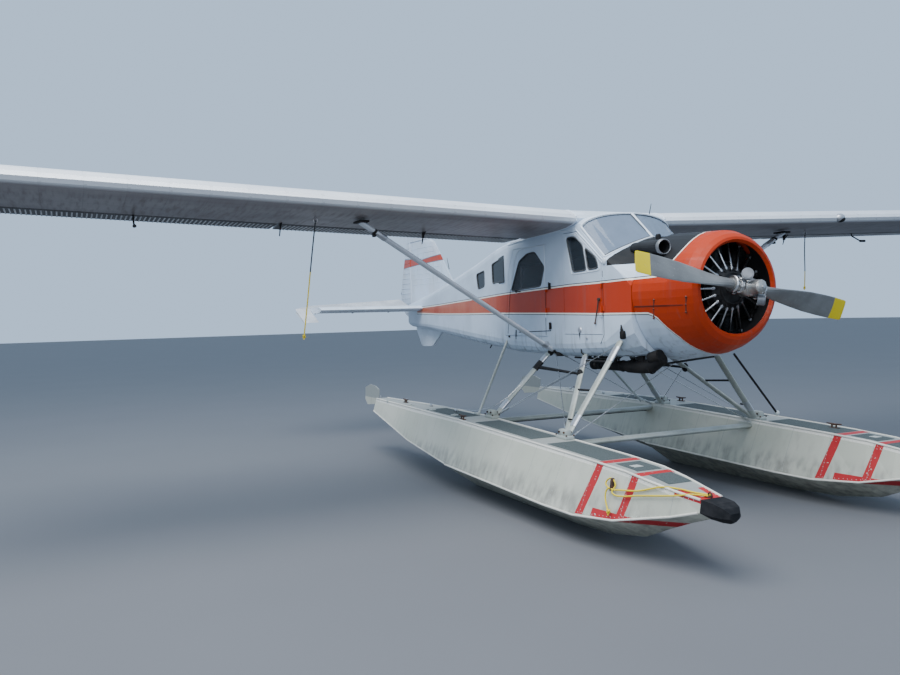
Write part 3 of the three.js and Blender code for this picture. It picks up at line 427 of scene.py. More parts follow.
@dataclass(frozen=True)
class SheetMetal:
    """Sheet of the wings: pale above, dark below with painted shade and grime, with lap lines, rivet rows
    and oily streaks.
    """

    name: str = "wing_sheet"
    colour: Point = (0.80, 0.84, 0.88)
    # The underside colour and its patches are painted shade under the wing, with a grimy tint mixed in.
    below: Point = (0.24, 0.225, 0.235)
    stain: Point = (0.13, 0.105, 0.095)
    shaded_patch: Point = (0.31, 0.295, 0.305)
    rib: float = 0.36
    worn: Point = (0.70, 0.74, 0.78)
    lead_paint: Point = (0.78, 0.82, 0.86)
    gap: Point = (0.12, 0.11, 0.11)
    front_spar: float = 2.57
    rear_spar: float = 3.01
    row_inset: float = 0.015

    @staticmethod
    def strip(across: Value, half: float) -> Value:
        """Returns 1 within half a width of a line."""
        return across.between(-half, half)

    def material(self) -> bpy.types.Material:
        """Returns the material."""
        graph = Graph(self.name)
        aft = PROP_X - graph.x
        height = graph.z - THRUST_Z
        under = (height - abs(graph.y) * 0.0384 + (aft - 1.931) * 0.087) < 0.872
        drift = graph.noise(1.6, 4.0, (2.0, 0.6, 2.0))
        streaks = graph.noise(9.0, 4.0, (0.4, 3.0, 0.4))
        fine = graph.noise(80.0, 2.0)
        seam = graph.y.line(self.rib, 0.006)
        spar = self.strip(aft - self.front_spar, 0.003).most(self.strip(aft - self.rear_spar, 0.003))
        dots = graph.x.line(0.03, 0.006) * graph.y.line(self.rib, 0.022, -0.008)
        front_row, rear_row = self.front_spar + self.row_inset, self.rear_spar - self.row_inset
        rows = self.strip(aft - front_row, 0.004).most(self.strip(aft - rear_row, 0.004))
        dots = dots.most(rows * graph.y.line(0.03, 0.007))
        lead = 1.0 - aft.ramp(1.96, 2.02)
        colour = graph.mix(self.colour, self.worn, drift.ramp(0.3, 0.7))
        # Underside: painted shade with grime, oily streaks, and the paint's own colour again on the leading
        # edge.
        shaded_underside = graph.mix(self.below, self.shaded_patch, drift.ramp(0.35, 0.7))
        shaded_underside = graph.mix(shaded_underside, self.stain, streaks.ramp(0.42, 0.72) * aft.ramp(1.97, 2.29) * 0.6)
        shaded_underside = graph.mix(shaded_underside, self.lead_paint, lead)
        colour = graph.mix(colour, shaded_underside, under)
        ahead = aft.ramp(2.0, 2.2, 0.12, 0.5)
        colour = graph.mix(colour, self.gap, seam.most(spar) * ahead + dots * 0.2)
        return graph.surface(
            Base_Color=colour,
            Roughness=0.30 + fine * 0.12 + streaks * 0.14,
            Metallic=0.2,
            Normal=graph.bump(drift * 0.5 - seam * 0.12 - dots * 0.10, 0.004, 0.35),
        )


@dataclass(frozen=True)
class FinPaint:
    """The fin's and rudder's white paint with an orange stripe."""

    name: str = "fin_paint"
    worn_white: Point = (0.56, 0.61, 0.68)
    pinstripe: float = 0.012

    def material(self) -> bpy.types.Material:
        """Returns the material."""
        graph = Graph(self.name)
        aft = PROP_X - graph.x
        height = graph.z - THRUST_Z
        top = graph.curve(aft, FIN_BAND_TOP)
        bottom = graph.curve(aft, FIN_BAND_BOTTOM)
        drift = graph.noise(3.0, 4.0)
        drips = graph.noise(7.0, 3.0, (2.5, 2.5, 0.3))
        colour = graph.mix(WHITE, self.worn_white, drift.ramp(0.35, 0.7))
        colour = graph.mix(colour, GRIME, drips.ramp(0.55, 0.8) * 0.3)
        dark = (height < top + self.pinstripe) * (height > bottom - self.pinstripe)
        colour = graph.mix(colour, PINSTRIPE, dark * 0.8)
        colour = graph.mix(colour, ORANGE, (height < top) * (height > bottom))
        return graph.surface(
            Base_Color=colour,
            Roughness=0.32 + drift * 0.12,
            Coat_Weight=0.25,
            Coat_Roughness=0.15,
            Normal=graph.bump(drift, 0.003, 0.3),
        )


@dataclass(frozen=True)
class FloatPaint:
    """The floats' worn grey-green paint: cream edges, red propeller warning bands, a red bow chine."""

    name: str = "float_paint"
    colour: Point = (0.50, 0.51, 0.42)
    red: Point = (0.45, 0.018, 0.022)
    pale: Point = (0.57, 0.57, 0.48)
    streak: Point = (0.34, 0.33, 0.28)
    silt: Point = (0.20, 0.19, 0.17)
    walkway: Point = (0.29, 0.31, 0.30)
    rim: Point = (0.74, 0.72, 0.64)
    chipped: Point = (0.50, 0.50, 0.49)
    seam: Point = (0.22, 0.22, 0.21)
    frame: float = 0.49

    def material(self) -> bpy.types.Material:
        """Returns the material."""
        graph = Graph(self.name)
        aft = PROP_X - graph.x
        height = graph.z - THRUST_Z
        offset = abs(abs(graph.y) - FLOAT_Y)
        drift = graph.noise(2.0, 5.0)
        stains = graph.noise(6.0, 5.0, (2.2, 2.2, 0.35))
        chips = graph.noise(38.0, 4.0)
        wet = (height + 1.83).ramp(0.10, -0.08)
        deck = graph.curve(aft, FLOAT_DECK)
        chine = graph.curve(aft, FLOAT_CHINE)
        half = graph.curve(aft, FLOAT_HALF)
        slant = aft + (height + 1.54) * 0.19
        bands = slant.between(0.0, 0.095).most(slant.between(-0.475, -0.39)) * (height > chine + 0.02)
        bow = (aft < -0.02) * (height > -1.965) * (height < -1.900)
        arrow = (aft < -0.86) * (height > deck - 0.03) * ((offset > half - 0.07).most(aft < -1.05))
        edge = (height > deck - 0.042) * (offset > half - 0.006) * (aft > -0.95)
        worn = 1.0 - (chips > 0.68)
        colour = graph.mix(self.colour, self.pale, drift.ramp(0.35, 0.7))
        colour = graph.mix(colour, self.streak, stains.ramp(0.52, 0.8) * 0.4)
        colour = graph.mix(colour, self.silt, wet * 0.6 * stains.ramp(0.3, 0.7))
        walk = (height > deck - 0.03) * (offset < half - 0.012)
        colour = graph.mix(colour, self.walkway, walk * 0.85)
        colour = graph.mix(colour, self.rim, edge * (0.6 + worn * 0.4))
        colour = graph.mix(colour, self.red, bands.most(bow).most(arrow) * worn)
        colour = graph.mix(colour, self.chipped, (chips > 0.7) * 0.5)
        seams = (aft + 0.86).line(self.frame, 0.006)
        colour = graph.mix(colour, self.seam, seams * 0.45)
        return graph.surface(
            Base_Color=colour,
            Roughness=0.42 + chips * 0.2,
            Metallic=0.12,
            Normal=graph.bump(drift * 0.6 + chips * 0.12 - seams * 0.25, 0.004, 0.45),
        )


@dataclass(frozen=True)
class BladePaint:
    """The propeller's grey paint with yellow tips, worn at the leading edges."""

    name: str = "blade_paint"
    tip: float = 1.165
    grey: Point = (0.15, 0.155, 0.155)
    pale: Point = (0.20, 0.21, 0.21)
    yellow: Point = (0.80, 0.62, 0.005)
    bare: Point = (0.42, 0.42, 0.42)

    def material(self) -> bpy.types.Material:
        """Returns the material."""
        graph = Graph(self.name)
        height = graph.z - THRUST_Z
        reach = (graph.y * graph.y + height * height).root()
        fine = graph.noise(60.0, 4.0)
        streaks = graph.noise(4.0, 4.0)
        colour = graph.mix(self.grey, self.pale, streaks.ramp(0.35, 0.7))
        colour = graph.mix(colour, self.yellow, reach > self.tip)
        colour = graph.mix(colour, self.bare, (fine > 0.68) * 0.5)
        return graph.surface(
            Base_Color=colour,
            Roughness=0.36 + fine * 0.2,
            Metallic=0.2,
            Normal=graph.bump(fine, 0.001, 0.3),
        )


@dataclass(frozen=True)
class Glazing:
    """Acrylic panes: glossy and partly see-through, their colour painted light: a sky reflection on the
    windscreen, the inside's shade on the side and rear panes.
    """

    name: str
    painted_light_tint: Point
    alpha: float
    smear_gain: float = 1.3

    def material(self) -> bpy.types.Material:
        """Returns the material."""
        graph = Graph(self.name)
        smear = graph.noise(7.0, 4.0)
        return graph.surface(
            Base_Color=graph.mix(self.painted_light_tint, tuple(c * self.smear_gain for c in self.painted_light_tint), smear),
            Roughness=0.05 + smear * 0.07,
            Alpha=self.alpha,
            IOR=1.49,
            Specular_IOR_Level=0.35,
        )


@dataclass(frozen=True)
class Cloth:
    """Woven upholstery or rope fibre, with a dark colour above a given height as painted shade."""

    name: str
    colour: Point
    second: Point
    pitch: float = 260.0
    # Above this height the cloth takes the dark colour: painted shade, as under the wing.
    shade_above: float = 99.0
    dark: Point = (0.05, 0.055, 0.06)

    def material(self) -> bpy.types.Material:
        """Returns the material."""
        graph = Graph(self.name)
        weave = graph.node("ShaderNodeTexWave", {"wave_type": "BANDS", "bands_direction": "DIAGONAL"},
                           {"Vector": graph.place, "Scale": self.pitch, "Distortion": 1.5})
        thread = Value(graph, weave.outputs["Fac"])
        drift = graph.noise(12.0, 3.0)
        colour = graph.mix(self.colour, self.second, thread * 0.6 + drift * 0.4)
        # Painted shade above the given height.
        colour = graph.mix(colour, self.dark, graph.z > self.shade_above)
        return graph.surface(Base_Color=colour, Roughness=0.85, Normal=graph.bump(thread, 0.0015, 0.6))


class Kit:
    """Every finish, made once."""

    def __init__(self) -> None:
        """Makes the materials."""
        self.livery = Livery().material()
        self.white = Paint("white_paint", (0.70, 0.78, 0.87), (0.60, 0.67, 0.74)).material()
        self.strut = Paint(
            "strut_paint", (0.42, 0.45, 0.42), (0.32, 0.34, 0.30), grime=0.45, metallic=0.25,
        ).material()
        self.silver = Paint(
            "silver_paint", (0.52, 0.54, 0.57), (0.42, 0.44, 0.47), grime=0.15, roughness=0.3,
            metallic=0.7,
        ).material()
        self.steel = Paint(
            "bright_steel", (0.62, 0.63, 0.64), (0.5, 0.5, 0.5), roughness=0.22, metallic=1.0, coat=0.0,
            dents=0.1, scale=30.0,
        ).material()
        self.black = Paint(
            "black_paint", (0.010, 0.011, 0.012), (0.020, 0.021, 0.023), grime=0.05, roughness=0.5,
            coat=0.0, specular=0.2,
        ).material()
        self.deck = Paint(
            "deck_paint", (0.010, 0.011, 0.012), (0.020, 0.021, 0.022), grime=0.05, roughness=0.5,
            coat=0.0, specular=0.2,
        ).material()
        self.sooty = Paint(
            "sooty_steel", (0.012, 0.012, 0.013), (0.030, 0.026, 0.024), grime=0.1, roughness=0.6,
            metallic=0.5, coat=0.0, dents=0.5, scale=9.0,
        ).material()
        self.engine = Paint(
            "engine_grey", (0.020, 0.021, 0.023), (0.045, 0.045, 0.045), roughness=0.42, metallic=0.6,
            coat=0.0, dents=0.5, scale=12.0,
        ).material()
        # Near-black sheet for the cowl's inside and the intake's throat: painted shade.
        self.dark = Paint(
            "dark_void", (0.006, 0.006, 0.007), (0.01, 0.01, 0.011), grime=0.0, roughness=0.8, coat=0.0,
        ).material()
        self.rubber = Paint(
            "rubber", (0.010, 0.011, 0.013), (0.022, 0.022, 0.024), grime=0.08, roughness=0.65, coat=0.0,
            dents=0.6, scale=14.0, specular=0.12,
        ).material()
        self.nonskid = Paint(
            "nonskid", (0.045, 0.06, 0.06), (0.08, 0.10, 0.10), roughness=0.75, coat=0.0, dents=1.0,
            scale=90.0,
        ).material()
        self.ribbed = Paint(
            "control_skin", (0.62, 0.64, 0.66), (0.48, 0.50, 0.52), grime=0.25, metallic=0.1,
        ).material()
        self.wing = SheetMetal().material()
        # The flaps' and ailerons' undersides are near black: painted shade, with their stains and patches.
        self.flap = SheetMetal(
            "flap_sheet", colour=(0.48, 0.50, 0.52), below=(0.022, 0.022, 0.026),
            stain=(0.015, 0.015, 0.016), shaded_patch=(0.035, 0.034, 0.037), rib=0.094,
        ).material()
        self.float = FloatPaint().material()
        self.blade = BladePaint().material()
        # Painted light on the glass: the side and rear panes are near black, painted shade of the inside;
        # the windscreen's pale blue-grey is a painted sky reflection.
        self.shaded_side_pane = Glazing("side_glass", painted_light_tint=(0.012, 0.018, 0.024), alpha=0.38).material()
        self.screen = Glazing("screen_glass", painted_light_tint=(0.17, 0.22, 0.29), alpha=0.74).material()
        self.shaded_rear_pane = Glazing("rear_glass", painted_light_tint=(0.012, 0.016, 0.018), alpha=0.86).material()
        self.fabric = Cloth("seat_fabric", (0.10, 0.11, 0.13), (0.16, 0.17, 0.2)).material()
        # The ropes are dark above 0.30 m over the thrust line: painted shade under the wing.
        self.rope = Cloth(
            "rope_fibre", (0.70, 0.50, 0.01), (0.84, 0.68, 0.05), pitch=90.0, shade_above=THRUST_Z + 0.30,
        ).material()
        self.red = Paint("red_paint", (0.42, 0.018, 0.022), (0.30, 0.02, 0.02)).material()
        self.green = Paint("green_lens", (0.02, 0.25, 0.06), (0.03, 0.35, 0.1)).material()
        self.cream = Paint(
            "cream_trim", (0.74, 0.72, 0.64), (0.62, 0.60, 0.53), grime=0.3, roughness=0.5,
        ).material()
        self.float_trim = Paint(
            "float_trim", (0.58, 0.62, 0.60), (0.46, 0.48, 0.45), grime=0.3, roughness=0.45,
        ).material()
        self.rust = Paint(
            "worn_latch", (0.05, 0.035, 0.03), (0.13, 0.07, 0.045), grime=0.25, roughness=0.6,
            metallic=0.4, coat=0.0, dents=0.5, scale=20.0,
        ).material()
        self.seal = Paint(
            "window_seal", (0.05, 0.055, 0.06), (0.09, 0.095, 0.10), grime=0.1, roughness=0.6, coat=0.0,
            dents=0.3, scale=20.0,
        ).material()
        self.head = Paint(
            "cylinder_head", (0.012, 0.012, 0.013), (0.028, 0.026, 0.025), roughness=0.5, metallic=0.4,
            coat=0.0, dents=0.4, scale=14.0,
        ).material()
        self.dome = Paint(
            "dome_metal", (0.56, 0.55, 0.52), (0.40, 0.39, 0.36), grime=0.25, roughness=0.28,
            metallic=0.85, coat=0.0, dents=0.2, scale=16.0,
        ).material()
        self.latch = Paint(
            "cowl_latch", (0.14, 0.025, 0.008), (0.07, 0.018, 0.010), grime=0.3, roughness=0.6,
        ).material()
        self.weight = Paint(
            "counterweight_grey", (0.24, 0.25, 0.27), (0.17, 0.18, 0.19), grime=0.3, roughness=0.35,
            metallic=0.4, coat=0.0, dents=0.3, scale=20.0,
        ).material()
        self.lift = Paint(
            "lift_strut_paint", (0.66, 0.71, 0.77), (0.56, 0.60, 0.65), roughness=0.35, metallic=0.1,
        ).material()
        self.fin_paint = FinPaint().material()


class Shape:
    """One piece under construction, in a bmesh."""

    def __init__(self) -> None:
        """Starts an empty piece."""
        self.mesh = bmesh.new()

    def box(self, centre: Vector, size: Point, turn: Matrix | None = None, bevel: float = 0.0) -> "Shape":
        """Adds a box.

        Args:
            centre: Its centre.
            size: Its sizes along its own axes.
            turn: Its rotation.
            bevel: The width of its rounded edges.

        Returns:
            This piece.
        """
        matrix = Matrix.Translation(centre) @ (turn or Matrix()).to_4x4() @ Matrix.Diagonal((*size, 1.0))
        made = bmesh.ops.create_cube(self.mesh, size=1.0, matrix=matrix)
        if bevel:
            edges = {edge for vert in made["verts"] for edge in vert.link_edges}
            bmesh.ops.bevel(self.mesh, geom=list(edges), offset=bevel, segments=2, profile=0.5,
                            affect="EDGES", material=-1)
        return self

    def rod(self, start: Vector, end: Vector, radius: float, sides: int = 16,
            end_radius: float | None = None, flat: float = 1.0, across: Vector = AHEAD) -> "Shape":
        """Adds a round or oval bar.

        Args:
            start: One end.
            end: The other end.
            radius: Its radius at start.
            sides: Its number of sides.
            end_radius: Its radius at end.
            flat: Its thickness as a share of its width.
            across: The direction that it is widest in.

        Returns:
            This piece.
        """
        axis = (end - start).normalized()
        wide = (across - axis * across.dot(axis))
        wide = wide.normalized() if wide.length > 1e-4 else axis.orthogonal().normalized()
        thin = axis.cross(wide)
        basis = Matrix((wide, thin, axis)).transposed().to_4x4()
        matrix = Matrix.Translation((start + end) / 2) @ basis @ Matrix.Diagonal((1.0, flat, 1.0, 1.0))
        bmesh.ops.create_cone(self.mesh, cap_ends=True, segments=sides, radius1=radius,
                              radius2=radius if end_radius is None else end_radius,
                              depth=(end - start).length, matrix=matrix)
        return self

    def ball(self, centre: Vector, size: Point, sides: int = 16) -> "Shape":
        """Adds a ball of three radii."""
        matrix = Matrix.Translation(centre) @ Matrix.Diagonal((*size, 1.0))
        bmesh.ops.create_uvsphere(self.mesh, u_segments=sides, v_segments=max(6, sides // 2), radius=1.0,
                                  matrix=matrix)
        return self

    def lathe(self, profile: Sequence[tuple[float, float]], centre: Vector, axis: Vector,
              steps: int = 32) -> "Shape":
        """Turns a closed profile round an axis.

        Args:
            profile: Points of distance along the axis and radius, closed on themselves.
            centre: A point of the axis.
            axis: Its direction.
            steps: How many steps make the turn.

        Returns:
            This piece.
        """
        axis = axis.normalized()
        out = axis.orthogonal().normalized()
        verts = [self.mesh.verts.new(centre + axis * along + out * radius) for along, radius in profile]
        edges = [self.mesh.edges.new((a, b)) for a, b in zip(verts, verts[1:] + verts[:1])]
        bmesh.ops.spin(self.mesh, geom=verts + edges, cent=centre, axis=axis,
                       angle=math.tau, steps=steps, use_merge=True, use_duplicate=False)
        bmesh.ops.remove_doubles(self.mesh, verts=self.mesh.verts, dist=1e-5)
        return self

    def ring(self, centre: Vector, axis: Vector, radius: float, thickness: float, steps: int = 32,
             sides: int = 8) -> "Shape":
        """Adds a round ring."""
        turns = [math.tau * i / sides for i in range(sides)]
        return self.lathe([(thickness * math.sin(t), radius + thickness * math.cos(t)) for t in turns],
                          centre, axis, steps)

    def sweep(self, points: Sequence[Vector], radius: float, sides: int = 10) -> "Shape":
        """Adds a tube along a path.

        Args:
            points: The path.
            radius: The tube's radius.
            sides: Its number of sides.

        Returns:
            This piece.
        """
        ring_before: list[bmesh.types.BMVert] = []
        normal = (points[1] - points[0]).orthogonal().normalized()
        for index, point in enumerate(points):
            ahead = points[min(index + 1, len(points) - 1)] - points[max(index - 1, 0)]
            axis = ahead.normalized()
            normal = (normal - axis * normal.dot(axis)).normalized()
            basis = Matrix((normal, axis.cross(normal), axis)).transposed().to_4x4()
            capped = index in (0, len(points) - 1)
            made = bmesh.ops.create_circle(self.mesh, cap_ends=capped, segments=sides, radius=radius,
                                           matrix=Matrix.Translation(point) @ basis)
            ring_now = made["verts"]
            if ring_before:
                edges = [edge for ring in (ring_before, ring_now) for edge in self._loop(ring)]
                bmesh.ops.bridge_loops(self.mesh, edges=edges)
            ring_before = ring_now
        return self

    @staticmethod
    def _loop(ring: Sequence[bmesh.types.BMVert]) -> list[bmesh.types.BMEdge]:
        """Returns the edges that join a ring's own points."""
        members = set(ring)
        return list({e for v in ring for e in v.link_edges if set(e.verts) <= members})

    def panel(self, outline: Iterable[Vector], depth: Vector) -> "Shape":
        """Adds a flat plate: an outline pushed through a depth."""
        face = self.mesh.faces.new([self.mesh.verts.new(point) for point in outline])
        made = bmesh.ops.extrude_face_region(self.mesh, geom=[face], use_keep_orig=True)
        moved = [v for v in made["geom"] if isinstance(v, bmesh.types.BMVert)]
        bmesh.ops.translate(self.mesh, verts=moved, vec=depth)
        return self

    def loft(self, rings: Sequence[Sequence[Vector]]) -> "Shape":
        """Adds a solid skinned over closed rings of as many points each."""
        made = [[self.mesh.verts.new(point) for point in ring] for ring in rings]
        for low, high in zip(made, made[1:]):
            for index in range(len(low)):
                after = (index + 1) % len(low)
                self.mesh.faces.new((low[index], low[after], high[after], high[index]))
        self.mesh.faces.new(made[0][::-1])
        self.mesh.faces.new(made[-1])
        return self

    def rivet(self, foot: Vector, out: Vector, radius: float) -> "Shape":
        """Adds a low domed head on a surface."""
        turn = out.to_track_quat("Z", "Y").to_matrix().to_4x4()
        matrix = Matrix.Translation(foot + out * radius * 0.2) @ turn
        bmesh.ops.create_cone(self.mesh, cap_ends=True, segments=6, radius1=radius, radius2=radius * 0.5,
                              depth=radius * 0.7, matrix=matrix)
        return self

    def studs(self, count: int, circle: float, start: float, end: float, radius: float) -> "Shape":
        """Sets six-sided studs in a circle round the thrust line, from one distance aft to another."""
        for index in range(count):
            angle = index / count * math.tau
            spot = (circle * math.cos(angle), circle * math.sin(angle))
            self.rod(at(start, *spot), at(end, *spot), radius, 6)
        return self

    def pillow(self, centre: Vector, size: Point, cuts: int = 7, power: float = 5.0) -> "Shape":
        """Adds a crowned cushion, whose sides pull in between its corners.

        Args:
            centre: Its centre.
            size: Its full sizes.
            cuts: How many times each edge is cut.
            power: How square its corners are.

        Returns:
            This piece.
        """
        made = bmesh.ops.create_cube(self.mesh, size=2.0)
        edges = list({edge for vert in made["verts"] for edge in vert.link_edges})
        bmesh.ops.subdivide_edges(self.mesh, edges=edges, cuts=cuts, use_grid_fill=True)
        thin = min(range(3), key=lambda axis: size[axis])
        for vert in self.mesh.verts:
            place = [float(value) for value in vert.co]
            reach = sum(abs(value) ** power for value in place) ** (1 / power)
            place = [value / reach for value in place]
            flat = [place[axis] for axis in range(3) if axis != thin]
            crown = 0.72 + 0.28 * (1 - flat[0] ** 2) * (1 - flat[1] ** 2)
            for axis in range(3):
                sides_in = 1.0 - 0.035 * (1 - flat[0 if axis == 1 else 1] ** 2)
                place[axis] *= (crown if axis == thin else sides_in) * size[axis] / 2
            vert.co = centre + Vector(place)
        return self

    def done(self, name: str, material: bpy.types.Material, slot: Slot, body: str = "airframe",
             smooth: float = 40.0) -> bpy.types.Object:
        """Ends the piece.

        Args:
            name: Its name.
            material: Its finish.
            slot: The record's slot that it stands for; not used.
            body: The body it rides on.
            smooth: The greatest angle, in degrees, that is shaded smooth.

        Returns:
            The object.
        """
        bmesh.ops.recalc_face_normals(self.mesh, faces=self.mesh.faces)
        data = bpy.data.meshes.new(name)
        self.mesh.to_mesh(data)
        self.mesh.free()
        data.materials.append(material)
        data.set_sharp_from_angle(angle=math.radians(smooth))
        for polygon in data.polygons:
            polygon.use_smooth = True
        made = bpy.data.objects.new(name, data)
        bpy.context.scene.collection.objects.link(made)
        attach(made, body)
        LOG.info("piece %s: %d faces", name, len(data.polygons))
        return made


def smooth_path(points: Sequence[Vector], step: float = 0.012) -> list[Vector]:
    """Resamples a path as one smooth curve.

    Args:
        points: The points that the curve passes through.
        step: The distance between the new points.

    Returns:
        The new points.
    """
    ends = [points[0] * 2 - points[1], *points, points[-1] * 2 - points[-2]]
    path: list[Vector] = []
    for a, b, c, d in zip(ends, ends[1:], ends[2:], ends[3:]):
        count = max(1, round((c - b).length / step))
        for index in range(count):
            t = index / count
            path.append(0.5 * (2 * b + (c - a) * t + (2 * a - 5 * b + 4 * c - d) * t * t
                               + (3 * b - a - 3 * c + d) * t ** 3))
    return [*path, points[-1].copy()]


def length_of(path: Sequence[Vector]) -> float:
    """Returns the length of a path."""
    return sum((b - a).length for a, b in zip(path, path[1:]))


def read_rows(rows: Sequence[tuple[float, ...]], where: float) -> tuple[float, ...]:
    """Reads a table at a place between its rows.

    Args:
        rows: Rows of a place and the values there, in order.
        where: The place; past either end, the end's own row counts.

    Returns:
        The values at that place.
    """
    for low, high in zip(rows, rows[1:]):
        if where <= high[0]:
            share = max(0.0, (where - low[0]) / (high[0] - low[0]))
            return tuple(a + (b - a) * share for a, b in zip(low[1:], high[1:]))
    return rows[-1][1:]


def thickness(share: float) -> float:
    """Returns a symmetric airfoil's thickness polynomial at a share of its chord."""
    return (0.2969 * math.sqrt(share) - 0.126 * share - 0.3516 * share ** 2 + 0.2843 * share ** 3
            - 0.1015 * share ** 4)


SKIN_ROWS = [(0.98, 0.612), (1.44, 0.625), (3.56, 0.625), (3.95, 0.61), (4.85, 0.515), (5.95, 0.388),
             (7.10, 0.262), (8.40, 0.105)]


def skin_half(aft: float) -> float:
    """Returns the fuselage's half width at a distance aft of the propeller."""
    return read_rows(SKIN_ROWS, aft)[0]


def on_side(side: float, points: Iterable[tuple[float, float]], out: float = 0.0) -> list[Vector]:
    """Puts points of aft and height on the fuselage's side, a distance out of it."""
    return [at(aft, side * (skin_half(aft) + out), height) for aft, height in points]


@dataclass
class Ropes:
    """The yellow ropes: one under each wing, and the stowed bow line of the starboard float."""

    kit: Kit
    radius: float = 0.007
    strand: float = 0.0055
    top: float = 0.8383
    hang_aft: float = 2.457
    sway: float = 0.006
    wing_ropes: tuple[tuple[str, float, float, float], ...] = (
        ("port", 3.530, 3.500, 0.768), ("starboard", -3.530, -3.690, 1.208))

    def knot(self, centre: Vector, name: str) -> bpy.types.Object:
        """Ties an overhand knot round a point, with a short fuzzy tail."""
        wide, deep, steps = 0.0052, 0.011, 40
        loop = []
        for turn in (math.tau * i / steps for i in range(steps + 1)):
            loop.append(centre + Vector((wide * (math.sin(turn) + 2 * math.sin(2 * turn)),
                                         deep * -math.sin(3 * turn),
                                         wide * (math.cos(turn) - 2 * math.cos(2 * turn)))))
        piece = Shape().sweep(loop, self.strand, 8)
        tail = centre - Vector((0.003, 0.002, 0.034))
        piece.rod(centre - Vector((0, 0, 0.008)), tail, self.strand, 10, 0.0075)
        return piece.done(name, self.kit.rope, Slot.ROPE)

    def cord(self, name: str, points: Sequence[Vector]) -> bpy.types.Object:
        """Lays one rope.

        Args:
            name: The piece's name.
            points: Its route, from where it leaves the aircraft.

        Returns:
            The rope.
        """
        path = smooth_path(points)
        rope = Shape().sweep(path, self.radius, 10).done(name, self.kit.rope, Slot.ROPE)
        length_of(path)
        return rope

    def wing(self) -> None:
        """Hangs the two wing ropes in the place of their plain solids."""
        steps = 14
        for label, y, end_y, drop in self.wing_ropes:
            route = [at(self.hang_aft + self.sway * math.sin(6 * i / steps), y + (end_y - y) * i / steps,
                        self.top - drop * i / steps) for i in range(steps + 1)]
            knot = self.knot(route[-1], f"wing_rope_knot_{label}")
            rope = self.cord(f"wing_rope_line_{label}", route)
            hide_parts(f"wing_rope_{label}")

    def bow(self) -> None:
        """Stows the bow line: from the bow eye aft to a cleat on the side, round it and back."""
        there = [(-1.085, -1.470, -1.637), (-0.95, -1.535, -1.630), (-0.85, -1.590, -1.615),
                 (-0.73, -1.664, -1.616), (-0.512, -1.716, -1.679), (-0.33, -1.752, -1.702),
                 (-0.215, -1.772, -1.712), (-0.13, -1.766, -1.690), (-0.125, -1.752, -1.655),
                 (-0.17, -1.746, -1.628), (-0.225, -1.748, -1.640), (-0.250, -1.756, -1.680),
                 (-0.235, -1.782, -1.730)]
        back = [(-0.29, -1.781, -1.752), (-0.40, -1.760, -1.741), (-0.521, -1.736, -1.716),
                (-0.724, -1.694, -1.684), (-0.90, -1.652, -1.655), (-1.00, -1.590, -1.634),
                (-1.085, -1.497, -1.640)]
        self.cord("bow_line", [at(*place) for place in there + back])
        tail = [(-0.20, -1.790, -1.700), (-0.175, -1.800, -1.735), (-0.180, -1.812, -1.790),
                (-0.215, -1.826, -1.845), (-0.255, -1.838, -1.885)]
        end = self.knot(at(*tail[-1]), "bow_tail_knot")
        self.cord("bow_tail", [at(*place) for place in tail])

    def build(self) -> None:
        """Makes every rope."""
        self.wing()
        self.bow()


